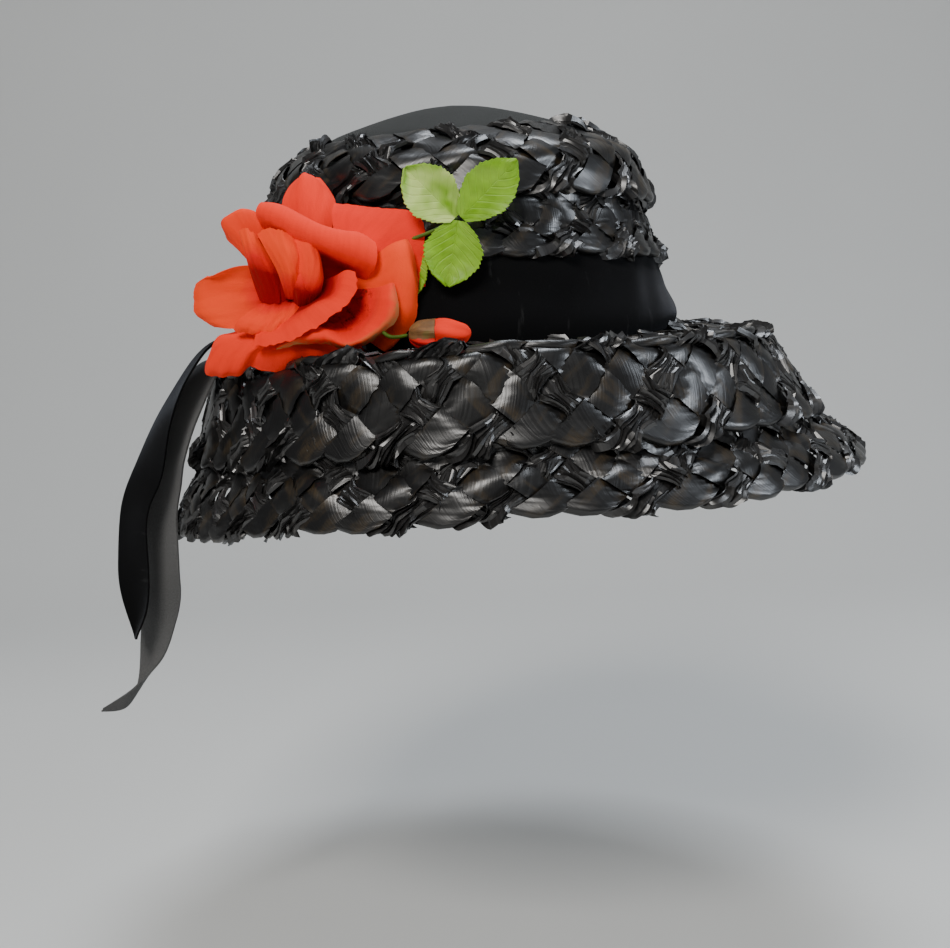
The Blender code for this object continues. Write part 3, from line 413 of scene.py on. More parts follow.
# The cloth's dip at the tip, the band's folds and creases, and the teeth and veins of a leaf
TIP_DIP = 0.003
TIP_DIP_FROM = 0.86
BAND_FOLD = 0.0011
BAND_SAG = 0.0008
BAND_CREASE = 0.0007
LEAF_FULLNESS = 0.54
LEAF_TEETH = 15.0
LEAF_TOOTH = 0.07
LEAF_CUP = 0.16
VEIN_SPACING = 0.0042
VEIN_HEIGHT = 0.00008
BUD_RIPPLE = 0.07

# Thickness of the cloth as it shows at its edges
BAND_SHEET = 0.0014
LEAF_SHEET = 0.0005
RIBBON_SHEET = 0.0009

# Colours of wear, of patches and of a painted whitish sheen
FADED_TAN = (0.50, 0.22, 0.07)
SOOT = (0.03, 0.008, 0.006)
PAINTED_SHEEN_GREEN = (0.66, 0.82, 0.26)
HUSK_OLIVE = (0.17, 0.16, 0.04)

# The stage: the floor's run and rise, and the area lights with place, size, power and colour
FLOOR_SIZE = 6.0
FLOOR_PROFILE = ((-3.0, 0.0), (0.2, 0.0), (1.1, 0.02), (1.7, 0.5), (1.9, 1.4), (1.95, 3.0))
STUDIO_COLOUR = (0.60, 0.63, 0.68, 1.0)
STUDIO_STRENGTH = 0.145
LIGHTS = (
    ("key", (-0.9, -1.3, 1.3), 0.70, 36.0, (1.0, 0.97, 0.93)),
    ("fill", (1.3, -0.9, 0.5), 0.50, 15.0, (0.84, 0.91, 1.0)),
    ("top", (0.3, 0.2, 1.6), 0.60, 21.0, (0.88, 0.93, 1.0)),
)
CAMERA_LENS = 65.74
CAMERA_PLACE = (-0.26202, -0.80643, 0.05929)
CAMERA_RIGHT = Vector((0.94660558, -0.31830061, -0.05121139))
CAMERA_UP = Vector((0.09604002, 0.12677476, 0.98727123))
CAMERA_BACK = Vector((-0.30775672, -0.93947479, 0.15057529))


def between(table, key):
    """The second column of a table at a key, read along straight lines."""
    rows = sorted(table)
    return float(np.interp(key, [row[0] for row in rows], [row[1] for row in rows]))


def round_table(azimuth):
    """The brim's shares at an azimuth, read along smooth curves round the head."""
    azimuth = (azimuth + 180.0) % 360.0 - 180.0
    first, last = BRIM_SECTIONS[0], BRIM_SECTIONS[-1]
    ring = [(last[0] - 360.0, *last[1:]), *BRIM_SECTIONS, (first[0] + 360.0, *first[1:])]
    place = max(i for i, row in enumerate(ring) if row[0] <= azimuth)
    low, high = ring[place], ring[min(place + 1, len(ring) - 1)]
    share = (azimuth - low[0]) / (high[0] - low[0])
    share = share * share * (3.0 - 2.0 * share)
    return tuple(a + (b - a) * share for a, b in zip(low[1:], high[1:]))


def outwards(azimuth):
    angle = math.radians(azimuth)
    return Vector((math.sin(angle), -math.cos(angle), 0.0))


def sideways(azimuth):
    angle = math.radians(azimuth)
    return Vector((math.cos(angle), math.sin(angle), 0.0))


def oval(azimuth):
    angle = math.radians(azimuth)
    return 1.0 / math.hypot(math.sin(angle) / HALF_WIDTH, math.cos(angle) / HALF_LENGTH)


def crown_reach(azimuth, height):
    return oval(azimuth) * between(CROWN_PROFILE, height / CROWN_HEIGHT)


def offset_line(line, distance):
    """The line moved to its outer side; lines run from the top or the inside to the edge."""
    moved = []
    for i, (reach, height) in enumerate(line):
        before = line[max(i - 1, 0)]
        after = line[min(i + 1, len(line) - 1)]
        first = Vector((reach - before[0], height - before[1]))
        second = Vector((after[0] - reach, after[1] - height))
        first = first.normalized() if first.length else second.normalized()
        second = second.normalized() if second.length else first
        middle = (first + second).normalized()
        stretch = 1.0 / max(middle.dot(first), 0.6)
        moved.append((reach - middle.y * distance * stretch, height + middle.x * distance * stretch))
    return moved


def lengthen(line, extra):
    end = Vector(line[-1])
    way = (end - Vector(line[-2])).normalized()
    return [*line[:-1], tuple(end + way * extra)]


def row_fall(azimuth):
    return ROW_SLANT * (0.5 - 0.5 * math.cos(math.radians(azimuth - ROW_SLANT_FROM)))


def upper_row_top(azimuth):
    return UPPER_ROW_TOP - TOP_SLANT * (0.5 - 0.5 * math.cos(math.radians(azimuth - TOP_SLANT_FROM)))


def upper_row_bottom(azimuth):
    return UPPER_ROW_TOP - UPPER_ROW_WIDTH - row_fall(azimuth)


def lower_row_bottom(azimuth):
    return upper_row_bottom(azimuth) - LOWER_ROW_WIDTH


def crown_row_line(azimuth, top, bottom, standoffs):
    heights = [top + (bottom - top) * share for share, _ in standoffs]
    cloth = [(crown_reach(azimuth, height), height) for height in heights]
    return [offset_line(cloth, standoff + STRAW_WALL)[i] for i, (_, standoff) in enumerate(standoffs)]


def upper_crown_line(azimuth):
    bulge = SHOULDER_BULGE
    standoffs = ((0.0, 3.0 * SEAT_GAP), (0.2, 0.55 * bulge), (0.45, bulge), (0.7, 1.1 * bulge),
                 (1.0, ROW_FLARE))
    return crown_row_line(azimuth, upper_row_top(azimuth), upper_row_bottom(azimuth), standoffs)


def lower_crown_line(azimuth):
    top = upper_row_bottom(azimuth) + 0.24 * UPPER_ROW_WIDTH
    lift = 3.0 * SEAT_GAP + VELVET_WALL
    standoffs = ((0.0, 2.0 * SEAT_GAP), (0.40, 4.0 * SEAT_GAP), (0.80, lift), (1.0, lift + 2.0 * SEAT_GAP))
    return crown_row_line(azimuth, top, lower_row_bottom(azimuth), standoffs)


def brim_at(azimuth):
    shelf, rise, flare_1, drop_1, flare_2, drop_2 = round_table(azimuth)
    ridge = (oval(azimuth) + shelf * SHELF_WIDTH, rise * RIDGE_RISE)
    ledge = (ridge[0] + flare_1 * UPPER_SLOPE_FLARE, ridge[1] - drop_1 * UPPER_SLOPE_DROP)
    rim = (ledge[0] + flare_2 * LOWER_SLOPE_FLARE, ledge[1] - drop_2 * LOWER_SLOPE_DROP)
    return ridge, ledge, rim


def shelf_height(azimuth, reach):
    ridge = brim_at(azimuth)[0]
    inner = oval(azimuth) + SEAT_GAP
    return ridge[1] * (reach - inner) / (ridge[0] - inner)


def under_shelf(azimuth, reach):
    ridge = brim_at(azimuth)[0]
    slope = ridge[1] / (ridge[0] - oval(azimuth) - SEAT_GAP)
    return shelf_height(azimuth, reach) - (STRAW_WALL + SEAT_GAP) * math.hypot(1.0, slope)


def shelf_line(azimuth):
    ridge = brim_at(azimuth)[0]
    edge = (ridge[0] + SHELF_OVERHANG, ridge[1] - 0.45 * SHELF_OVERHANG)
    return [(oval(azimuth) + SEAT_GAP, 0.0), ridge, edge]


def upper_brim_line(azimuth):
    ridge, ledge, _ = brim_at(azimuth)
    flare = ledge[0] - ridge[0]
    fall = ridge[1] - ledge[1]
    tucked = ridge[0] - ROW_TUCK
    bend = ridge[0] - 0.7 * STRAW_WALL
    return [
        (tucked, under_shelf(azimuth, tucked)),
        (bend, under_shelf(azimuth, bend)),
        (ridge[0] + 0.36 * flare, ridge[1] - 0.42 * fall),
        ledge,
    ]


def lower_brim_line(azimuth):
    _, ledge, rim = brim_at(azimuth)
    inside = offset_line(lengthen(upper_brim_line(azimuth), SCALLOP_DEPTH), -(STRAW_WALL + SEAT_GAP))
    start = Vector(inside[-2]).lerp(Vector(inside[-1]), 1.0 - ROW_TUCK / (0.6 * UPPER_SLOPE_DROP))
    flare = rim[0] - ledge[0]
    fall = ledge[1] - rim[1]
    return [tuple(start), inside[-1], (ledge[0] + 0.62 * flare, ledge[1] - 0.42 * fall), rim]


def band_line(azimuth):
    top = lower_row_bottom(azimuth) + BAND_TUCK
    wall = VELVET_WALL
    foot_reach = oval(azimuth) + 0.55 * BAND_BULGE
    foot = max(shelf_height(azimuth, foot_reach), shelf_height(azimuth, foot_reach + wall)) + 2.0 * SEAT_GAP
    line = []
    for share, bulge in ((0.0, 0.0), (0.22, 0.10), (0.55, 0.62), (0.84, 0.80)):
        height = top + (foot - top) * share
        line.append((crown_reach(azimuth, height) + SEAT_GAP + wall + bulge * BAND_BULGE, height))
    return [*line, (foot_reach + wall, foot)]


ROW_LINES = {
    "crown_upper_row": upper_crown_line,
    "crown_lower_row": lower_crown_line,
    "brim_shelf_row": shelf_line,
    "brim_upper_row": upper_brim_line,
    "brim_lower_row": lower_brim_line,
}


def smooth_route(points, steps):
    """Points read from one smooth curve through a few chosen ones."""
    points = [np.array(point, dtype=float) for point in points]
    route = []
    for i in range(len(points) - 1):
        p0 = points[max(i - 1, 0)]
        p1 = points[i]
        p2 = points[i + 1]
        p3 = points[min(i + 2, len(points) - 1)]
        for k in range(steps):
            t = k / steps
            route.append(0.5 * (2.0 * p1 + (p2 - p0) * t + (2.0 * p0 - 5.0 * p1 + 4.0 * p2 - p3) * t * t
                                + (3.0 * p1 - p0 - 3.0 * p2 + p3) * t ** 3))
    return np.array([*route, points[-1]])


def unit(vectors):
    return vectors / np.linalg.norm(vectors, axis=-1, keepdims=True)


def line_length(line):
    return np.linalg.norm(np.diff(line, axis=0), axis=1).sum()


def even_steps(line, steps):
    """A line read at even steps of its length, and that length."""
    run = np.concatenate([[0.0], np.cumsum(np.linalg.norm(np.diff(line, axis=0), axis=1))])
    wanted = np.linspace(0.0, run[-1], steps + 1)
    return np.stack([np.interp(wanted, run, column) for column in line.T], axis=1), run[-1]


def turned_surface(line_of, shift):
    """Points and outward normals of a surface round the head, at each degree and place down it."""
    grid = np.empty((361, ROW_STEPS + 1, 3))
    widths = []
    for i in range(361):
        line, width = even_steps(smooth_route(offset_line(line_of(float(i)), shift), 8), ROW_STEPS)
        way = outwards(float(i))
        grid[i, :, 0] = way.x * line[:, 0]
        grid[i, :, 1] = way.y * line[:, 0]
        grid[i, :, 2] = line[:, 1]
        widths.append(width)
    normals = unit(np.cross(np.gradient(grid, axis=1), np.gradient(grid, axis=0)))
    return grid, normals, float(np.mean(widths))


def on_surface(surface, azimuth, place, height):
    """Points over a turned surface; places past its edges follow its slope there."""
    grid, normals, _ = surface
    azimuth = np.mod(azimuth, 360.0)
    i = np.minimum(azimuth.astype(int), 359)
    s = (azimuth - i)[:, None]
    down = place * ROW_STEPS
    j = np.clip(down.astype(int), 0, ROW_STEPS - 1)
    t = (down - j)[:, None]
    points = 0.0
    ways = 0.0
    for row, share in ((i, 1.0 - s), (i + 1, s)):
        points = points + share * (grid[row, j] * (1.0 - t) + grid[row, j + 1] * t)
        ways = ways + share * (normals[row, j] * (1.0 - t) + normals[row, j + 1] * t)
    return points + unit(ways) * height[:, None]


def noise_round(rng, waves, low, high):
    """An even noise round the hat, as a function of azimuth in degrees."""
    turns = rng.integers(low, high, waves)
    starts = rng.uniform(0.0, 2.0 * math.pi, waves)
    sizes = rng.uniform(0.4, 1.0, waves)
    sizes /= sizes.sum()

    def read(azimuth):
        angle = np.radians(np.asarray(azimuth, dtype=float))
        return sum(size * np.sin(turn * angle + start) for turn, start, size in zip(turns, starts, sizes))

    return read


def read_points(mesh):
    flat = np.empty(3 * len(mesh.vertices))
    mesh.vertices.foreach_get("co", flat)
    return flat.reshape(-1, 3)


def lay_grid(name, along, across, place, size, shift=(0.0, 0.0), weld=False, slant=0.0):
    """A grid primitive whose points are laid by place(u, v), with its UV map in metres. A slant is
    given to the map of a strip that is laid askew."""
    bpy.ops.object.select_all(action="DESELECT")
    bpy.ops.mesh.primitive_grid_add(x_subdivisions=along, y_subdivisions=across, size=1.0)
    thing = bpy.context.active_object
    thing.name = name
    mesh = thing.data
    mesh.name = name
    flat = read_points(mesh)
    points = np.asarray(place(flat[:, 0] + 0.5, flat[:, 1] + 0.5), dtype=float)
    mesh.vertices.foreach_set("co", points.ravel())
    layer = mesh.uv_layers.active.data
    uv = np.empty(2 * len(layer))
    layer.foreach_get("uv", uv)
    uv = uv.reshape(-1, 2) * np.array(size) + np.array(shift)
    uv[:, 0] += slant * uv[:, 1]
    layer.foreach_set("uv", uv.ravel())
    if weld:
        bpy.ops.object.mode_set(mode="EDIT")
        bpy.ops.mesh.select_all(action="SELECT")
        bpy.ops.mesh.remove_doubles(threshold=1e-6)
        bpy.ops.mesh.normals_make_consistent(inside=False)
        bpy.ops.object.mode_set(mode="OBJECT")
    mesh.update()
    return thing


def thicken(thing, wall, offset=0.0, crispness=FLAT_CRISPNESS):
    """Gives a sheet its wall, with crisp edges."""
    modifier = thing.modifiers.new("wall", "SOLIDIFY")
    modifier.thickness = wall
    modifier.offset = offset
    modifier.use_even_offset = False
    bpy.context.view_layer.objects.active = thing
    bpy.ops.object.modifier_apply(modifier=modifier.name)
    bpy.ops.object.select_all(action="DESELECT")
    thing.select_set(True)
    bpy.ops.object.shade_smooth()
    thing.data.set_sharp_from_angle(angle=math.radians(crispness))


def join(things, name):
    """Several pieces made one."""
    bpy.ops.object.select_all(action="DESELECT")
    for thing in things:
        thing.select_set(True)
    bpy.context.view_layer.objects.active = things[0]
    bpy.ops.object.join()
    things[0].name = name
    things[0].data.name = name
    return things[0]


def finish_piece(thing, material, nodes):
    if material:
        thing.data.materials.clear()
        thing.data.materials.append(material)
    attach(thing, "root")
    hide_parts(*nodes)
    return thing


class Finish:
    """A new material and short ways to add and join its nodes."""

    def __init__(self, name):
        self.material = bpy.data.materials.new(name)
        self.material.use_nodes = True
        self.tree = self.material.node_tree
        self.shader = self.tree.nodes["Principled BSDF"]
        self.shader.inputs["Metallic"].default_value = 0.0

    def feed(self, socket, value):
        """Joins or sets one input."""
        if isinstance(value, bpy.types.NodeSocket):
            self.tree.links.new(value, socket)
        else:
            socket.default_value = value

    def node(self, kind, inputs=(), **settings):
        node = self.tree.nodes.new(kind)
        for key, value in settings.items():
            setattr(node, key, value)
        for key, value in dict(inputs).items():
            self.feed(node.inputs[key], value)
        return node

    def split(self, source):
        """The three parts of one of the piece's own coordinates."""
        where = self.node("ShaderNodeTexCoord").outputs[source]
        return self.node("ShaderNodeSeparateXYZ", {"Vector": where}).outputs

    def place(self, source, scale, turn=0.0):
        """The piece's own coordinates, stretched."""
        start = self.node("ShaderNodeTexCoord").outputs[source]
        mapping = self.node("ShaderNodeMapping", {"Vector": start, "Scale": scale})
        mapping.inputs["Rotation"].default_value = (0.0, 0.0, turn)
        return mapping.outputs[0]

    def noise(self, vector, scale, detail=3.0, roughness=0.5):
        noise = self.node("ShaderNodeTexNoise", {"Vector": vector, "Scale": scale, "Detail": detail})
        noise.inputs["Roughness"].default_value = roughness
        return noise.outputs["Fac"]

    def grain(self, along, across, detail=3.0, roughness=0.5):
        """Noise over the piece's UV map, so many grains to a metre each way."""
        return self.noise(self.place("UV", (along, across, 1.0)), 1.0, detail, roughness)

    def speckle(self, count, detail=3.0):
        """Noise through the piece, so many grains to a metre."""
        return self.noise(self.place("Object", (count, count, count)), 1.0, detail)

    def ramp(self, factor, *stops):
        ramp = self.node("ShaderNodeValToRGB", {"Fac": factor})
        elements = ramp.color_ramp.elements
        while len(elements) < len(stops):
            elements.new(0.5)
        for element, (place, colour) in zip(elements, stops):
            element.position = place
            element.color = (*colour, 1.0)
        return ramp.outputs["Color"]

    def span(self, value, low, high, to_low=0.0, to_high=1.0):
        keys = ("Value", "From Min", "From Max", "To Min", "To Max")
        inputs = dict(zip(keys, (value, low, high, to_low, to_high)))
        return self.node("ShaderNodeMapRange", inputs).outputs[0]

    def mix(self, factor, first, second, blend="MIX"):
        node = self.node("ShaderNodeMix", {0: factor}, data_type="RGBA", blend_type=blend)
        for key, value in ((6, first), (7, second)):
            self.feed(node.inputs[key], (*value, 1.0) if isinstance(value, tuple) else value)
        return node.outputs[2]

    def sum(self, operation, first, second):
        return self.node("ShaderNodeMath", {0: first, 1: second}, operation=operation).outputs[0]

    def wear(self, **inputs):
        """Sets or joins the shader's own inputs."""
        for key, value in inputs.items():
            self.feed(self.shader.inputs[key.replace("_", " ")], value)

    def bump(self, height, distance, strength=0.8):
        node = self.node("ShaderNodeBump", {"Height": height, "Distance": distance, "Strength": strength})
        self.feed(self.shader.inputs["Normal"], node.outputs[0])


def finish_for(name, maker):
    """A material, made once."""
    return bpy.data.materials.get(name) or maker(name)


def scaled(colour, share):
    """A colour made lighter or darker."""
    return tuple(share * c for c in colour)


def straw_finish(name, crinkled=False):
    """Glossy black straw: fine lines across each strand, warm and olive tints. Crinkled strands have a
    greyer base, painted light for the glints on their pleats, without the tint, and carry fine creases along
    them."""
    colours = bpy.context.scene.hat_colours
    finish = Finish(name)
    lines = finish.grain(1500.0, 18.0, 1.0, 0.6)
    patches = finish.grain(45.0, 160.0)
    # Painted light: crinkled strands get a greyer base for the light their pleats catch
    black = scaled(colours.straw, 2.6 if crinkled else 0.9)
    tint = scaled(black, 1.3) if crinkled else tuple(colours.straw_tint)
    tone = finish.ramp(patches, (0.34, black), (0.52, scaled(black, 1.5)), (0.68, tint))
    fine = finish.ramp(lines, (0.35, (0.60, 0.60, 0.60)), (0.65, (1.5, 1.5, 1.5)))
    finish.wear(Base_Color=finish.mix(1.0, tone, fine, "MULTIPLY"))
    if crinkled:
        creases = finish.grain(160.0, 900.0, 2.0)
        finish.wear(Roughness=finish.span(creases, 0.3, 0.7, 0.38, 0.28), Specular_IOR_Level=0.75)
        finish.bump(creases, 0.0002)
    else:
        finish.wear(Roughness=finish.span(lines, 0.3, 0.7, 0.42, 0.28), Specular_IOR_Level=0.65)
        finish.bump(lines, 0.00012)
    return finish.material


def weave_finish(name, colour, threads, roughness, sheen):
    """Plain woven cloth, so many threads to a metre: two crossing sets under a soft nap."""
    finish = Finish(name)
    where = finish.place("UV", (threads, threads, 1.0))
    warp, weft = (finish.node("ShaderNodeTexWave", {"Vector": where, "Scale": 0.5, "Distortion": 0.6},
                              bands_direction=way).outputs["Fac"] for way in "XY")
    relief = finish.sum("MULTIPLY", warp, weft)
    fleck = finish.noise(where, 0.35, 4.0, 0.7)
    cloud = finish.grain(22.0, 22.0)
    tone = finish.mix(finish.span(fleck, 0.3, 0.7), scaled(colour, 0.55), scaled(colour, 1.7))
    tone = finish.mix(finish.span(cloud, 0.3, 0.7, 0.0, 0.5), tone, colour)
    finish.wear(Base_Color=tone, Roughness=roughness, Sheen_Weight=sheen, Sheen_Roughness=0.5)
    finish.bump(relief, 0.0001)
    return finish.material


def velvet_finish(name):
    """Black pile: nearly no gloss, a faint sheen at the folds and a little lint."""
    colour = tuple(bpy.context.scene.hat_colours.velvet)
    finish = Finish(name)
    pile = finish.grain(2200.0, 2200.0, 3.0, 0.7)
    lint = finish.span(finish.grain(220.0, 38.0, 4.0, 0.65), 0.62, 0.80)
    tone = finish.mix(lint, colour, tuple(c + 0.020 for c in colour))
    finish.wear(Base_Color=tone, Roughness=0.95, Specular_IOR_Level=0.08)
    finish.wear(Sheen_Weight=0.18, Sheen_Roughness=0.35, Sheen_Tint=(0.55, 0.58, 0.66, 1.0))
    finish.bump(pile, 0.0002, 0.6)
    return finish.material


def petal_finish(name, sunlit_share, turn=0.002, length=0.015, worn=0.0):
    """Dyed cloth petal with a fine weave: coral, with painted shade in crimson at its foot and in its
    creases and painted sunlight towards orange at its edge. A worn petal has a tan, faded edge and a
    sooty patch."""
    colours = bpy.context.scene.hat_colours
    deep = tuple(colours.rose_painted_shade)
    coral = tuple(colours.rose)
    # Painted light: a lit petal's outer part turns towards sunlit orange
    edge = tuple(a + (b - a) * sunlit_share for a, b in zip(coral, colours.rose_light))
    finish = Finish(name)
    run = finish.split("UV")[0]
    along = finish.span(run, turn - 0.25 * length, turn + 0.35 * length)
    cloud = finish.grain(90.0, 90.0, 4.0, 0.6)
    mixed = finish.sum("ADD", along, finish.span(cloud, 0.2, 0.8, -0.16, 0.16))
    # Painted shade: crimson at the foot of the petal, darker coral further out
    tone = finish.ramp(mixed, (0.10, deep), (0.42, scaled(coral, 0.85)), (0.72, edge),
                       (0.95, scaled(edge, 1.05)))
    thread = finish.grain(1500.0, 2400.0, 2.0)
    crease = finish.grain(60.0, 420.0)
    # Painted shade: the creases are darkened towards crimson
    tone = finish.mix(finish.span(crease, 0.40, 0.72, 0.0, 0.10), tone, deep)
    if worn:
        rim = finish.span(run, 0.82 * length, 0.93 * length, 0.0, worn)
        faded = finish.sum("MULTIPLY", rim, finish.span(cloud, 0.40, 0.55))
        tone = finish.mix(faded, tone, FADED_TAN)
        soot = finish.span(finish.grain(240.0, 240.0, 4.0, 0.7), 0.52, 0.66)
        patch = finish.sum("MULTIPLY", finish.span(run, 0.55 * length, 0.40 * length, 0.0, worn), soot)
        tone = finish.mix(patch, tone, SOOT)
    finish.wear(Base_Color=tone, Roughness=0.75, Sheen_Weight=0.10, Sheen_Roughness=0.5)
    finish.wear(Sheen_Tint=(1.0, 0.35, 0.25, 1.0), Specular_IOR_Level=0.15)
    finish.wear(Subsurface_Weight=0.12, Subsurface_Radius=(0.004, 0.0012, 0.0008), Subsurface_Scale=1.0)
    finish.bump(finish.sum("ADD", finish.sum("MULTIPLY", crease, 1.2), thread), 0.00018, 0.7)
    return finish.material


def leaf_finish(name, painted_sheen=0.0):
    """Stiff green leaf: pale midrib and side veins, and a painted whitish sheen in patches where wanted."""
    green = tuple(bpy.context.scene.hat_colours.leaf)
    pale = tuple(min(1.0, 1.4 * c + 0.01) for c in green)
    finish = Finish(name)
    along, across, _ = finish.split("UV")
    side = finish.sum("ABSOLUTE", across, 0.0)
    slanted = finish.sum("SUBTRACT", along, finish.sum("MULTIPLY", side, 0.9))
    ribs = finish.sum("SINE", finish.sum("MULTIPLY", slanted, 2.0 * math.pi / VEIN_SPACING), 0.0)
    marks = finish.sum("MAXIMUM", finish.span(ribs, 0.72, 1.0), finish.span(side, 0.0004, 0.0))
    cloud = finish.grain(160.0, 160.0, 4.0)
    tone = finish.mix(finish.span(cloud, 0.3, 0.7), scaled(green, 0.70), green)
    tone = finish.mix(finish.sum("MULTIPLY", marks, 0.14), tone, pale)
    # Painted sheen: whitish patches of glancing light mixed into the green
    sheen_patches = finish.grain(70.0, 70.0, 2.0)
    tone = finish.mix(finish.span(sheen_patches, 0.35, 0.65, 0.0, painted_sheen), tone, PAINTED_SHEEN_GREEN)
    finish.wear(Base_Color=tone, Roughness=0.45, Specular_IOR_Level=0.3)
    finish.wear(Subsurface_Weight=0.08, Subsurface_Radius=(0.001, 0.002, 0.0004), Subsurface_Scale=1.0)
    finish.bump(finish.sum("SUBTRACT", cloud, marks), 0.00018)
    return finish.material


def husk_finish(name):
    """Dry husk of the bud: tan and olive patches with fine ribs, and the petal's coral below."""
    colour = tuple(bpy.context.scene.hat_colours.husk)
    coral = tuple(bpy.context.scene.hat_colours.rose)
    middle = bud_frame()[0].z
    finish = Finish(name)
    ribs = finish.grain(50.0, 900.0)
    cloud = finish.speckle(150.0, 4.0)
    tone = finish.ramp(cloud, (0.30, scaled(colour, 0.35)), (0.55, colour), (0.72, HUSK_OLIVE))
    tone = finish.mix(finish.span(ribs, 0.35, 0.7, 0.0, 0.5), tone, scaled(colour, 0.4))
    level = finish.sum("ADD", finish.split("Object")[2], finish.span(cloud, 0.3, 0.7, -0.0008, 0.0008))
    tone = finish.mix(finish.span(level, middle - 0.0010, middle - 0.0016), tone, coral)
    finish.wear(Base_Color=tone, Roughness=0.6, Specular_IOR_Level=0.35)
    finish.bump(ribs, 0.0004)
    return finish.material


def stem_finish(name):
    """Wire bound in green paper tape."""
    colour = scaled(bpy.context.scene.hat_colours.leaf, 0.35)
    finish = Finish(name)
    where = finish.place("UV", (700.0, 200.0, 1.0), 0.5)
    turns = finish.node("ShaderNodeTexWave", {"Vector": where, "Scale": 1.0}).outputs["Fac"]
    tone = finish.mix(finish.span(finish.speckle(300.0), 0.3, 0.7), scaled(colour, 0.6), colour)
    finish.wear(Base_Color=tone, Roughness=0.6)
    finish.bump(turns, 0.0002, 0.6)
    return finish.material


def plait_strand(row, strand, sizes, rng):
    """One strand of a plaited row: a straight strip that folds back over both edges of the row.
    Flat strands lie in crisp squares; crinkled ones open in pleated tufts where they lie on top."""
    surface, width, periods, upper_inset, lower_inset, lift = row
    crinkled = strand in CRINKLED_STRANDS
    flights = 2 * periods
    length = line_length(surface[0][:, ROW_STEPS // 2])
    step = length / flights
    diagonal = math.hypot(step, width)
    strand_width = sizes.strand_width * (1.0 if crinkled else FLAT_STRAND_SHARE)
    half_along = 0.5 * strand_width * diagonal / width
    rise = sizes.weave_rise
    per_flight, across = CRINKLED_STEPS if crinkled else FLAT_STEPS
    cells = STRANDS * flights
    lifts = rng.uniform(0.0, 1.0, flights)
    slips = rng.uniform(-1.0, 1.0, flights)
    tips = rng.uniform(0.0, 1.0, (flights, across + 1)) ** 1.5
    tilts = rng.uniform(-1.0, 1.0, (cells, 2))
    chaos = rng.uniform(0.0, 1.0, (cells, across + 1))
    bulk = rng.uniform(0.3, 1.0, cells)
    wobble = noise_round(rng, 5, 9, 40)

    def place(u, v):
        v = 1.0 - v
        flight = u * flights
        part = flight - np.floor(flight)
        x = np.floor(flight) + part - TURN_EASE * np.sin(2.0 * math.pi * part) / (2.0 * math.pi)
        beside = (2.0 * v - 1.0) * half_along
        own = x + beside * step / diagonal ** 2
        share = beside / half_along
        off_centre = np.abs(share + FOLD_LEAN)
        column = np.clip(np.rint(v * across).astype(int), 0, across)
        edge = np.round(x)
        past = (x - edge) * width
        fold = edge.astype(int) % flights
        bottom = (edge.astype(int) % 2) == 1
        near = np.abs(own - edge) < FOLD_ZONE
        roll = rise * (1.2 + 0.6 * lifts[fold])
        if crinkled:
            roll = roll * (0.8 + 1.3 * tips[fold, column])
        angle = np.clip(past / roll, -0.5 * math.pi, 0.5 * math.pi)
        inset = np.where(np.abs(past) < 0.5 * math.pi * roll, roll * (1.0 - np.cos(angle)),
                         np.abs(past) - (0.5 * math.pi - 1.0) * roll)
        closeness = np.exp(-(past / FOLD_REACH) ** 2)
        if crinkled:
            reach_out = (TIP_LENGTH * tips[fold, column] - TIP_SINK) * np.exp(-(past / TIP_REACH) ** 2)
        else:
            reach_out = sizes.scallop * (0.75 - 1.1 * off_centre) * closeness
            reach_out = reach_out * (0.7 + 0.7 * lifts[(fold + 3) % flights])
        reach_out = reach_out + FOLD_SLIP * slips[fold] * closeness
        down = np.where(bottom, 1.0 - (inset - reach_out) / width, (inset - reach_out) / width)
        down = upper_inset / width + down * (1.0 - (upper_inset + lower_inset) / width)
        wave = -np.cos(STRANDS * math.pi * (own - np.floor(own) - 1.0 / STRANDS))
        cell = np.rint(own * STRANDS)
        local = own * STRANDS - cell
        cell = cell.astype(int) % cells
        steep = CRINKLED_STEEPNESS if crinkled else FLAT_STEEPNESS
        height = np.where(near, -np.sin(angle) * roll, np.tanh(steep * wave) * rise)
        front = np.clip(height / rise, 0.0, 1.0)
        window = np.clip((0.5 - np.abs(local)) / TILT_MARGIN, 0.0, 1.0)
        height = height + sizes.tilt * window * (tilts[cell, 0] * 2.0 * local + tilts[cell, 1] * share)
        narrow = 1.0
        if crinkled:
            pleat = 1.0 - 4.0 * np.abs((0.5 * v * across) % 1.0 - 0.5)
            end = 4.0 * local * local
            unevenness = chaos[cell, column]
            crumple = chaos[(cell + np.rint(3.0 * local).astype(int)) % cells, column] - 0.5
            height = height + front * bulk[cell] * sizes.tuft * (0.35 + 1.3 * end)
            height = height + front * end * TUFT_JAG * (unevenness - 0.35)
            height = height + pleat * (PLEAT_LOW + front * (PLEAT_RISE + PLEAT_SPREAD * unevenness))
            height = height + TUFT_CRUMPLE * front * crumple
            narrow = 0.95 - TUFT_PINCH * front * (1.0 - end)
        else:
            bow = FLAT_BOW * rise * (1.0 - share ** 2)
            height = height + np.where(height > 0.0, bow, -bow)
        spike = tips[fold, column] if crinkled else 1.0 - 0.8 * off_centre
        height = height + np.where(bottom, closeness * (0.35 + 0.65 * lifts[fold]) * spike * lift, 0.0)
        azimuth = -(strand * 2.0 * step / STRANDS + x * step + beside * narrow) * 360.0 / length
        return on_surface(surface, azimuth, down, height + ROW_WOBBLE * wobble(azimuth))

    return lay_grid("strand", flights * per_flight, across, place, (flights * diagonal, strand_width),
                    (0.37 * strand, 0.05 * strand), slant=-step / width)


def length_property(name, description, default, low, high):
    return FloatProperty(name=name, description=description, default=default, min=low, max=high,
                         unit="LENGTH")


def colour_property(name, description, default):
    return FloatVectorProperty(name=name, description=description, default=default, size=3, min=0.0,
                               max=1.0, subtype="COLOR")


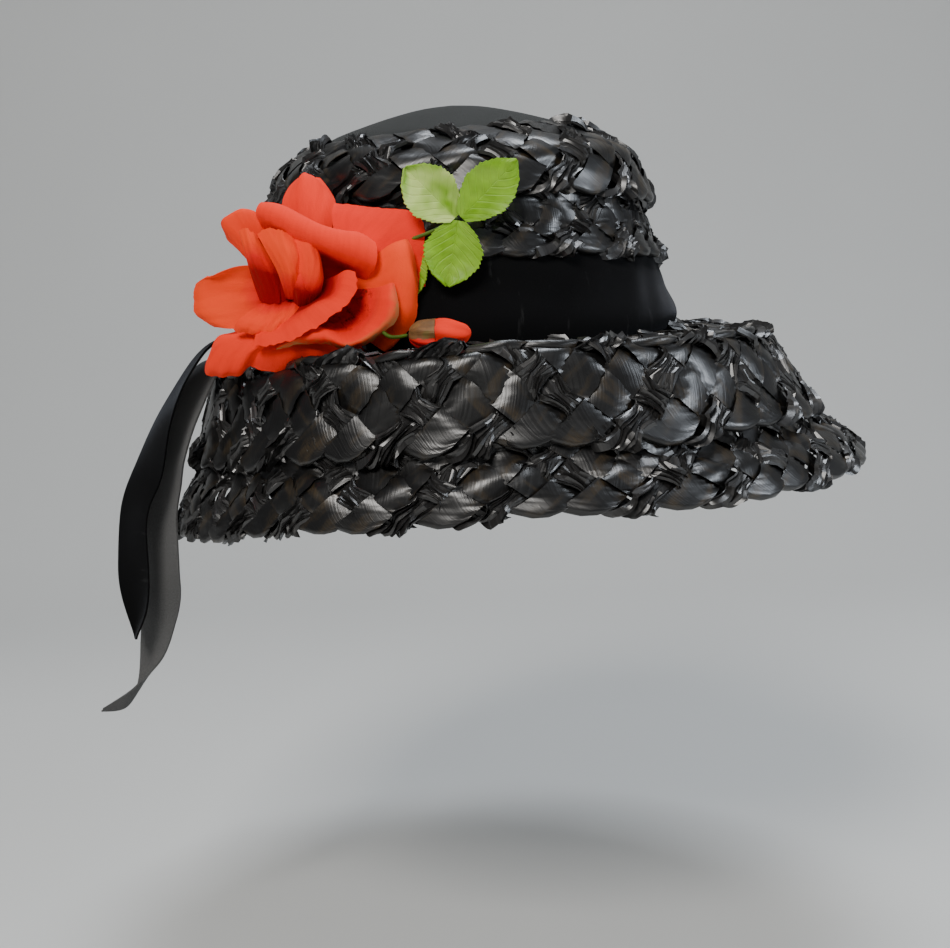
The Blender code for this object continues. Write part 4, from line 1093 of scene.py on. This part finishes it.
class HatSizes(bpy.types.PropertyGroup):
    strand_width: length_property("Strand width", "Width of one flat strand of straw", 0.0144, 0.006, 0.03)
    weave_rise: length_property("Weave rise", "Rise of a strand over another", 0.0012, 0.0002, 0.004)
    scallop: length_property("Scallop", "Reach of a folded strand past the row's edge", 0.0034, 0.0, 0.01)
    tilt: length_property("Tilt", "How far the corners of a flat square rise and fall", 0.0007, 0.0, 0.002)
    tuft: length_property("Tuft", "How far a pleated tuft stands off the row", 0.0011, 0.0, 0.005)
    straw_wall: length_property("Straw wall", "Thickness of one strand", 0.0003, 0.0001, 0.001)
    petal_wall: length_property("Petal wall", "Thickness of a cloth petal", 0.00045, 0.0002, 0.001)
    floor_height: length_property("Floor height", "Height of the floor under the hat", -0.30, -1.0, -0.18)


class HatColours(bpy.types.PropertyGroup):
    straw: colour_property("Straw", "Black of the straw", (0.0045, 0.0043, 0.0042))
    straw_tint: colour_property("Straw tint", "Warm tint where light comes through", (0.028, 0.020, 0.011))
    cloth: colour_property("Crown cloth", "Dark cloth of the crown", (0.009, 0.011, 0.010))
    velvet: colour_property("Velvet", "Pile of the band and ribbon", (0.0028, 0.0028, 0.0030))
    reverse: colour_property("Ribbon reverse", "Matte back of the ribbon", (0.060, 0.060, 0.060))
    rose: colour_property("Rose", "Coral cloth of the petals", (0.94, 0.018, 0.010))
    rose_light: colour_property("Rose light", "Sunlit petals", (1.0, 0.060, 0.008))
    # Crimson of the painted shade at the petals' feet, in their creases and over the rose's foot
    rose_painted_shade: colour_property("Rose deep", "Heart of the rose", (0.28, 0.0010, 0.0025))
    leaf: colour_property("Leaf", "Green of the leaves", (0.21, 0.45, 0.001))
    husk: colour_property("Husk", "Tan of the bud's cap", (0.24, 0.11, 0.035))
    floor: colour_property("Floor", "Pale floor", (0.62, 0.62, 0.60))


class HatOperator:
    bl_options = {"REGISTER", "UNDO"}


class HAT_OT_crown_cloth(HatOperator, bpy.types.Operator):
    """Models the dark cloth crown"""
    bl_idname = "hat.crown_cloth"
    bl_label = "Crown cloth"

    def execute(self, context):
        profile = smooth_route([(row[1], row[0]) for row in CROWN_PROFILE], 6)
        profile = np.vstack([profile, (1.0, -CROWN_SKIRT / CROWN_HEIGHT)])
        line, length = even_steps(profile * (HALF_WIDTH, CROWN_HEIGHT), 48)

        keys = np.linspace(0.0, 1.0, 49)

        def place(u, v):
            angle = 2.0 * math.pi * u
            ring = np.interp(v, keys, line[:, 0]) / HALF_WIDTH
            height = np.interp(v, keys, line[:, 1])
            dip = (height / CROWN_HEIGHT - TIP_DIP_FROM) / (1.0 - TIP_DIP_FROM)
            height = height - TIP_DIP * np.clip(dip, 0.0, 1.0)
            reach = ring / np.hypot(np.sin(angle) / HALF_WIDTH, np.cos(angle) / HALF_LENGTH)
            return np.stack([np.sin(angle) * reach, -np.cos(angle) * reach, height], axis=1)

        cloth = lay_grid("hat_crown_cloth", 144, 48, place, (2.0 * math.pi * HALF_LENGTH, length), weld=True)
        thicken(cloth, CLOTH_WALL, -1.0)
        colour = tuple(context.scene.hat_colours.cloth)
        material = finish_for("crown cloth", lambda name: weave_finish(name, colour, 3400.0, 0.95, 0.04))
        finish_piece(cloth, material, ["crown_cloth"])
        return {"FINISHED"}


class HAT_OT_straw_rows(HatOperator, bpy.types.Operator):
    """Plaits the five rows of straw"""
    bl_idname = "hat.straw_rows"
    bl_label = "Straw rows"

    def execute(self, context):
        flat_straw = finish_for("black straw", straw_finish)
        crinkled_straw = finish_for("crinkled straw", lambda name: straw_finish(name, True))
        sizes = context.scene.hat_sizes
        for node, periods, seed, upper_inset, lower_inset, sink, lift in STRAW_ROWS:
            surface = turned_surface(ROW_LINES[node], -0.5 * STRAW_WALL - sink)
            rng = np.random.default_rng(seed)
            pattern = (surface, surface[2], periods, upper_inset, lower_inset, lift)
            strands = [plait_strand(pattern, i, sizes, rng) for i in range(STRANDS)]
            for i, strand in enumerate(strands):
                crinkled = i in CRINKLED_STRANDS
                thicken(strand, sizes.straw_wall, 0.0, CRINKLED_CRISPNESS if crinkled else FLAT_CRISPNESS)
                strand.data.materials.append(crinkled_straw if crinkled else flat_straw)
            row = join(strands, "hat_" + node)
            finish_piece(row, None, [node])
        return {"FINISHED"}


class HAT_OT_hat_band(HatOperator, bpy.types.Operator):
    """Models the soft velvet band round the crown"""
    bl_idname = "hat.hat_band"
    bl_label = "Velvet band"

    def execute(self, context):
        surface = turned_surface(band_line, -0.5 * VELVET_WALL)
        rng = np.random.default_rng(21)
        folds = noise_round(rng, 9, 12, 44)
        sag = noise_round(rng, 5, 2, 9)

        def place(u, v):
            azimuth = 360.0 * u
            swell = np.sin(math.pi * v) ** 0.8
            height = BAND_FOLD * folds(azimuth + 14.0 * v) * swell + BAND_SAG * sag(azimuth)
            crease = BAND_CREASE * np.sin(2.0 * math.pi * (v * 1.5 + 0.12 * sag(azimuth)))
            return on_surface(surface, azimuth, v, height + crease * swell)

        band = lay_grid("hat_velvet_band", 360, 24, place, (0.62, 0.045), weld=True)
        thicken(band, BAND_SHEET)
        finish_piece(band, finish_for("black velvet", velvet_finish), ["hat_band"])
        return {"FINISHED"}


def rose_axes():
    out = outwards(ROSE_AZIMUTH)
    right = sideways(ROSE_AZIMUTH)
    tilt = math.radians(ROSE_TILT)
    axis = out * math.cos(tilt) + UPWARDS * math.sin(tilt)
    line = sorted((height, reach) for reach, height in band_line(ROSE_AZIMUTH))
    foot = out * (between(line, ROSE_HEIGHT) + RECEPTACLE_STANDOFF)
    foot.z = ROSE_HEIGHT
    return np.array(foot), np.array(axis), np.array(right), np.array(axis.cross(right))


def smooth_net(net, along, across):
    """A fine grid of points over a net of a few, smooth both ways."""
    rows = np.stack([even_steps(smooth_route(row, 10), across)[0] for row in net])
    columns = [even_steps(smooth_route(rows[:, k], 10), along)[0] for k in range(across + 1)]
    return np.stack(columns, axis=1)


def petal_mesh(name, seed, wall):
    """One cloth petal laid over its net, with ruffles, creases and a frayed edge."""
    ruffle, crease, fray = PETAL_FINISH[name][:3]
    along, across = 40, 34
    rng = np.random.default_rng(seed)
    net = 0.001 * np.array(PETALS[name])
    grid = smooth_net(net, along, across)
    right = np.array(sideways(VIEW_AZIMUTH))
    front = np.array(outwards(VIEW_AZIMUTH))
    up = np.array(UPWARDS)
    grid = rose_axes()[0] + grid[..., :1] * right + grid[..., 1:2] * front + grid[..., 2:] * up
    normals = unit(np.cross(np.gradient(grid, axis=0), np.gradient(grid, axis=1)))
    edgeways = unit(np.gradient(grid, axis=0))
    starts = rng.uniform(0.0, 2.0 * math.pi, 8)
    length = line_length(grid[:, across // 2])
    width = line_length(grid[along // 2])

    def place(u, v):
        i = np.rint(u * along).astype(int)
        k = np.rint(v * across).astype(int)
        side = 2.0 * v - 1.0
        rim = np.maximum(u ** 10, np.abs(side) ** 14 * np.clip(3.0 * u - 0.6, 0.0, 1.0))
        sway = np.sin(5.0 * side + 2.0 * u + starts[0]) + 0.5 * np.sin(11.0 * side + starts[1])
        wave = ruffle * u ** 2 * sway
        furrow = np.sin(14.0 * side + 3.0 * np.sin(4.0 * u + starts[2]) + starts[3])
        fold = crease * furrow * np.sin(math.pi * u) ** 0.5
        fold = fold + 0.3 * crease * np.sin(31.0 * side + 6.0 * u + starts[4])
        coarse = 0.6 * np.sin(47.0 * side + starts[5]) + 0.6 * np.sin(91.0 * side + 40.0 * u + starts[6])
        jag = fray * rim * (coarse + 0.5 * np.sin(139.0 * side + starts[7]))
        return (grid[i, k] + normals[i, k] * (0.001 * (wave + fold))[:, None]
                + edgeways[i, k] * (0.00035 * jag)[:, None])

    petal = lay_grid("rose_" + name, along, across, place, (length, width), (0.0, 0.1 * seed))
    thicken(petal, wall)
    return petal, length


class HAT_OT_rose(HatOperator, bpy.types.Operator):
    """Models the cloth rose, petal by petal, and its receptacle"""
    bl_idname = "hat.rose"
    bl_label = "Rose"

    def execute(self, context):
        sizes = context.scene.hat_sizes
        for seed, name in enumerate(PETALS):
            petal, length = petal_mesh(name, seed, sizes.petal_wall)
            turn, sunlit_share, worn = PETAL_FINISH[name][3:]
            material = finish_for("petal " + name,
                                  lambda title: petal_finish(title, sunlit_share, turn * length, length, worn))
            finish_piece(petal, material, ["rose_petal_" + name])
        foot, axis, right, up = (Vector(part) for part in rose_axes())
        bpy.ops.object.select_all(action="DESELECT")
        bpy.ops.mesh.primitive_cone_add(
            vertices=24, radius1=RECEPTACLE_RADIUS, radius2=0.12 * RECEPTACLE_RADIUS,
            depth=RECEPTACLE_LENGTH, location=(0.0, 0.0, 0.5 * RECEPTACLE_LENGTH))
        cone = context.active_object
        cone.name = "rose_base"
        bpy.ops.object.transform_apply(location=True, rotation=True, scale=True)
        cone.data.transform(Matrix.Translation(foot) @ Matrix((right, up, axis)).transposed().to_4x4())
        bpy.ops.object.shade_smooth()
        # The rose's foot is crimson nearly all over, painted shade
        material = finish_for("rose foot", lambda title: petal_finish(title, 0.0, 1.0, 1.0))
        finish_piece(cone, material, ["rose_receptacle"])
        return {"FINISHED"}


class HAT_OT_leaves(HatOperator, bpy.types.Operator):
    """Models the veined, toothed leaves"""
    bl_idname = "hat.leaves"
    bl_label = "Leaves"

    def execute(self, context):
        outline = np.array(LEAF_OUTLINE)
        for seed, (name, azimuth, height, clock, lean, length, width, standoff) in enumerate(LEAVES):
            rng = np.random.default_rng(50 + seed)
            starts = rng.uniform(0.0, 2.0 * math.pi, 3)
            height *= CROWN_HEIGHT
            start = np.array(on_crown(azimuth, height, standoff))
            angle = math.radians(clock)
            way = np.array(UPWARDS * math.cos(angle) + sideways(azimuth) * math.sin(angle))
            cross = np.array(sideways(azimuth) * math.cos(angle) - UPWARDS * math.sin(angle))
            out = np.array(outwards(azimuth))
            tilt = math.radians(lean)

            def place(u, v):
                side = 2.0 * v - 1.0
                half = LEAF_FULLNESS * width * LEAF_LENGTH * np.interp(u, outline[:, 0], outline[:, 1])
                half = half * (1.0 + LEAF_TOOTH * ((u * LEAF_TEETH) % 1.0 - 0.5) * np.abs(side) ** 6)
                run = length * LEAF_LENGTH * u
                rise = math.sin(tilt) * run + LEAF_CUP * half * side * side
                rise = rise + 0.0008 * np.sin(6.0 * u + starts[0]) * side
                rise = rise + 0.0012 * u * u * np.sin(starts[1] + 3.0 * side)
                veins = VEIN_HEIGHT * np.cos(2.0 * math.pi * (u * 7.0 - np.abs(side) * 1.4))
                rise = rise + veins * (1.0 - side ** 4)
                return (start + way * (math.cos(tilt) * run)[:, None] + cross * (half * side)[:, None]
                        + out * rise[:, None])

            leaf = lay_grid("hat_" + name, 120, 20, place, (length * LEAF_LENGTH, width * LEAF_LENGTH),
                            (0.0, -0.5 * width * LEAF_LENGTH))
            thicken(leaf, LEAF_SHEET)
            # The left leaf carries the most painted sheen, the others a little
            painted_sheen = 0.8 if name == "leaf_left" else 0.12
            finish_piece(leaf, finish_for(name, lambda title: leaf_finish(title, painted_sheen)), [name])
        return {"FINISHED"}


def swept_tube(name, points, radius, sides=12):
    """A round tube along a route, closed at both ends."""
    route = np.asarray(points, dtype=float)
    way = unit(np.gradient(route, axis=0))
    first = unit(np.cross(way, UPWARDS))
    second = np.cross(way, first)
    keys = np.linspace(0.0, 1.0, len(route))
    size = (line_length(route), 2.0 * math.pi * float(np.max(radius)))

    def place(u, v):
        angle = 2.0 * math.pi * v
        columns = [np.stack([np.interp(u, keys, part[:, k]) for k in range(3)], axis=1)
                   for part in (route, first, second)]
        girth = np.interp(u, keys, radius) if np.ndim(radius) else radius
        girth = girth * np.where((u <= 0.0) | (u >= 1.0), 0.0, 1.0)
        return columns[0] + (columns[1] * np.cos(angle)[:, None] + columns[2] * np.sin(angle)[:, None]) \
            * np.reshape(girth, (-1, 1))

    tube = lay_grid(name, len(route) - 1, sides, place, size, weld=True)
    bpy.ops.object.shade_smooth()
    return tube


def on_crown(azimuth, height, standoff):
    return outwards(azimuth) * (crown_reach(azimuth, height) + standoff) + UPWARDS * height


def rose_point(clock, reach, forward):
    foot, axis, right, up = rose_axes()
    angle = math.radians(clock)
    return Vector(foot + (up * math.cos(angle) + right * math.sin(angle)) * reach + axis * forward)


def bud_frame():
    inner = oval(BUD_AZIMUTH)
    reach = inner + BUD_PLACE * (brim_at(BUD_AZIMUTH)[0][0] - inner)
    height = shelf_height(BUD_AZIMUTH, reach) + BUD_RADIUS + 2.0 * SEAT_GAP
    return outwards(BUD_AZIMUTH) * reach + UPWARDS * height, sideways(BUD_AZIMUTH)


class HAT_OT_stems(HatOperator, bpy.types.Operator):
    """Models the taped wires of the leaves and the bud"""
    bl_idname = "hat.stems"
    bl_label = "Stems"

    def execute(self, context):
        material = finish_for("stem tape", stem_finish)
        back = -STEM_RADIUS - 3.0 * SEAT_GAP
        start = rose_point(78.0, 0.8 * RECEPTACLE_RADIUS, back)
        stand = LEAF_STANDOFF - LEAF_WALL / 2.0 - STEM_RADIUS - 2.0 * SEAT_GAP
        azimuth = LEAVES[2][1]
        joint = on_crown(azimuth, CROWN_HEIGHT * LEAVES[1][2], stand)
        middle = on_crown(0.5 * (ROSE_AZIMUTH + azimuth) - 2.0, 0.5 * (start.z + joint.z), LEAF_STEM_BEND)
        before = on_crown(azimuth - 6.0, CROWN_HEIGHT * LEAVES[2][2] - BAND_TUCK, stand)
        route = smooth_route([start, middle, before, joint], 12)
        leaf_stem = swept_tube("hat_leaf_stem", route, STEM_RADIUS)
        finish_piece(leaf_stem, material, ["leaf_stem"])
        centre, way = bud_frame()
        end = centre - way * (CAP_LENGTH + SEAT_GAP)
        start = rose_point(116.0, 0.8 * RECEPTACLE_RADIUS, back)
        line = sorted((height, reach) for reach, height in band_line(BUD_AZIMUTH))
        turn = 0.5 * (BUD_AZIMUTH + ROSE_AZIMUTH) + BUD_STEM_TURN
        middle = outwards(turn) * (between(line, end.z) + BUD_STEM_CLEARANCE)
        middle.z = 0.5 * (start.z + end.z)
        route = smooth_route([start, middle, end - way * BUD_STEM_RUN, end], 12)
        bud_stem = swept_tube("hat_bud_stem", route, STEM_RADIUS)
        finish_piece(bud_stem, material, ["bud_stem"])
        return {"FINISHED"}


class HAT_OT_rosebud(HatOperator, bpy.types.Operator):
    """Models the rosebud and its husk"""
    bl_idname = "hat.rosebud"
    bl_label = "Rosebud"

    def execute(self, context):
        centre, way = (np.array(part) for part in bud_frame())
        cap = ((-1.0, 0.10), (-0.92, 0.50), (-0.62, 0.88), (-0.25, 1.0), (0.0, 1.02), (0.06, 0.97),
               (0.08, 0.6))
        tip = ((0.0, 0.60), (0.02, 0.92), (0.30, 0.98), (0.60, 0.84), (0.86, 0.56), (1.0, 0.14))
        # The bud's petals take the petal finish, with its painted shade and a little painted sunlight
        parts = (("rosebud_cap", cap, CAP_LENGTH, 0.0, 7, "bud husk", husk_finish, "bud_husk"),
                 ("rosebud_petals", tip, BUD_LENGTH, SEAT_GAP, 5, "bud petals",
                  lambda title: petal_finish(title, 0.3), "rose"))
        for node, sections, size, begin, ridges, finish, maker, slot in parts:
            line = smooth_route(sections, 8)
            spots = [centre + way * (begin + size * along) for along, _ in line]
            bud = swept_tube("hat_" + node, spots, line[:, 1] * BUD_RADIUS, 48)
            flat = read_points(bud.data)
            along = (flat - centre) @ way
            spoke = flat - centre - along[:, None] * way
            angle = np.arctan2(spoke[:, 2], spoke @ np.cross(way, UPWARDS))
            ripple = 1.0 + BUD_RIPPLE * np.sin(ridges * angle + 240.0 * along) - 0.04
            points = centre + along[:, None] * way + spoke * ripple[:, None]
            bud.data.vertices.foreach_set("co", points.ravel())
            bud.data.update()
            finish_piece(bud, finish_for(finish, maker), [node])
        return {"FINISHED"}


def ribbon_mesh(name, table, seed, wall):
    """A ribbon tail from the band, over the ridge and down beside the brim, with a pointed end."""
    out = outwards(TAIL_START_AZIMUTH)
    back = -sideways(TAIL_START_AZIMUTH)
    start = out * (oval(TAIL_START_AZIMUTH) + 0.80 * BAND_BULGE + VELVET_WALL + 2.0 * SEAT_GAP)
    points = []
    for row in table:
        spot = start + out * (row[0] * TAIL_LENGTH) + back * (row[1] * TAIL_LENGTH)
        spot.z = row[2] * TAIL_LENGTH + TAIL_STANDOFF
        points.append((*spot, *row[3:]))
    route = smooth_route(points, 8)
    keys = np.linspace(0.0, 1.0, len(route))
    run = line_length(route[:, :3])
    starts = np.random.default_rng(seed).uniform(0.0, 2.0 * math.pi, 3)

    def place(u, v):
        side = 2.0 * v - 1.0
        parts = [np.interp(u, keys, route[:, k]) for k in range(6)]
        azimuth = np.radians(TAIL_START_AZIMUTH + parts[3])
        slope = np.radians(parts[4])
        level = np.cos(slope)
        across = np.stack([np.cos(azimuth) * level, np.sin(azimuth) * level, np.sin(slope)], axis=1)
        flow = np.stack([np.gradient(route[:, k]) for k in range(3)], axis=1)
        flow = np.stack([np.interp(u, keys, flow[:, k]) for k in range(3)], axis=1)
        normal = unit(np.cross(across, flow))
        half = 0.5 * parts[5] * RIBBON_WIDTH
        cup = 0.0012 * np.sin(9.0 * u + starts[0]) * side ** 2
        cup = cup + 0.0007 * np.sin(23.0 * u + starts[1] + 1.5 * side)
        return np.stack(parts[:3], axis=1) + across * (half * side)[:, None] + normal * cup[:, None]

    tail = lay_grid(name, 120, 10, place, (run, RIBBON_WIDTH), (0.0, 0.2 * seed))
    thicken(tail, wall)
    return tail, run


class HAT_OT_ribbon_tails(HatOperator, bpy.types.Operator):
    """Models the two hanging ribbon tails"""
    bl_idname = "hat.ribbon_tails"
    bl_label = "Ribbon tails"

    def execute(self, context):
        colour = tuple(context.scene.hat_colours.reverse)
        velvet = finish_for("black velvet", velvet_finish)
        reverse = finish_for("ribbon reverse", lambda name: weave_finish(name, colour, 3000.0, 0.85, 0.15))
        for node, table, seed, material, slot in (
                ("ribbon_tail_velvet", VELVET_TAIL, 1, velvet, "velvet"),
                ("ribbon_tail_reverse", REVERSE_TAIL, 2, reverse, "ribbon_reverse")):
            tail, run = ribbon_mesh("hat_" + node, table, seed, RIBBON_SHEET)
            finish_piece(tail, material, [node])
        return {"FINISHED"}


class HAT_OT_stage(HatOperator, bpy.types.Operator):
    """Sets the pale floor, the soft lights and the camera"""
    bl_idname = "hat.stage"
    bl_label = "Stage"

    def execute(self, context):
        height = context.scene.hat_sizes.floor_height
        away = np.array(-outwards(VIEW_AZIMUTH))
        beside = np.array(sideways(VIEW_AZIMUTH))
        profile, _ = even_steps(smooth_route(FLOOR_PROFILE, 12), 60)
        keys = np.linspace(0.0, 1.0, 61)

        def place(u, v):
            far = np.interp(u, keys, profile[:, 0])
            up = np.interp(u, keys, profile[:, 1])
            return (away * far[:, None] + beside * ((v - 0.5) * FLOOR_SIZE)[:, None]
                    + np.array(UPWARDS) * (up + height)[:, None])

        floor = lay_grid("stage_floor", 60, 4, place, (FLOOR_SIZE, FLOOR_SIZE))
        bpy.ops.object.shade_smooth()
        finish = Finish("pale floor")
        cloud = finish.span(finish.grain(3.0, 3.0, 2.0), 0.3, 0.7)
        colour = tuple(context.scene.hat_colours.floor)
        finish.wear(Base_Color=finish.mix(cloud, colour, scaled(colour, 0.97)), Roughness=0.9)
        floor.data.materials.append(finish.material)
        floor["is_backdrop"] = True
        world = bpy.data.worlds.new("soft studio")
        world.use_nodes = True
        background = world.node_tree.nodes["Background"]
        background.inputs["Color"].default_value = STUDIO_COLOUR
        background.inputs["Strength"].default_value = STUDIO_STRENGTH
        context.scene.world = world
        for name, spot, size, power, colour in LIGHTS:
            data = bpy.data.lights.new(name, "AREA")
            data.size = size
            data.energy = power
            data.color = colour
            light = bpy.data.objects.new(name, data)
            context.collection.objects.link(light)
            light.location = spot
            light.rotation_euler = (-Vector(spot)).to_track_quat("-Z", "Y").to_euler()
        camera = bpy.data.objects.new("camera", bpy.data.cameras.new("camera"))
        context.collection.objects.link(camera)
        camera.data.sensor_width = 36.0
        camera.data.lens = CAMERA_LENS
        camera.data.sensor_fit = "HORIZONTAL"
        camera.data.clip_start = 0.01
        turned = Matrix((CAMERA_RIGHT, CAMERA_UP, CAMERA_BACK)).transposed().to_4x4()
        camera.matrix_world = Matrix.Translation(CAMERA_PLACE) @ turned
        context.scene.camera = camera
        return {"FINISHED"}


class HAT_PT_sidebar(bpy.types.Panel):
    """Lists the hat's sizes, colours and pieces"""
    bl_idname = "HAT_PT_sidebar"
    bl_label = "Wide brim straw hat"
    bl_space_type = "VIEW_3D"
    bl_region_type = "UI"
    bl_category = "Hat"

    def draw(self, context):
        for group in (context.scene.hat_sizes, context.scene.hat_colours):
            for name in group.bl_rna.properties.keys():
                if name not in ("rna_type", "name"):
                    self.layout.prop(group, name)
        for operator in OPERATORS:
            self.layout.operator(operator.bl_idname)


OPERATORS = (
    HAT_OT_crown_cloth,
    HAT_OT_straw_rows,
    HAT_OT_hat_band,
    HAT_OT_rose,
    HAT_OT_leaves,
    HAT_OT_stems,
    HAT_OT_rosebud,
    HAT_OT_ribbon_tails,
    HAT_OT_stage,
)
CLASSES = (HatSizes, HatColours, *OPERATORS, HAT_PT_sidebar)


def register():
    for part in CLASSES:
        bpy.utils.register_class(part)
    bpy.types.Scene.hat_sizes = PointerProperty(type=HatSizes)
    bpy.types.Scene.hat_colours = PointerProperty(type=HatColours)


def unregister():
    del bpy.types.Scene.hat_colours
    del bpy.types.Scene.hat_sizes
    for part in reversed(CLASSES):
        bpy.utils.unregister_class(part)


def main():
    cad_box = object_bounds()
    register()
    bpy.ops.hat.crown_cloth()
    bpy.ops.hat.straw_rows()
    bpy.ops.hat.hat_band()
    bpy.ops.hat.rose()
    bpy.ops.hat.leaves()
    bpy.ops.hat.stems()
    bpy.ops.hat.rosebud()
    bpy.ops.hat.ribbon_tails()
    bpy.ops.hat.stage()
    boxes = {"cad": cad_box, "visual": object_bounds()}
    boxes = {key: [[float(c) for c in corner] for corner in box] for key, box in boxes.items()}


if __name__ == "__main__":
    main()
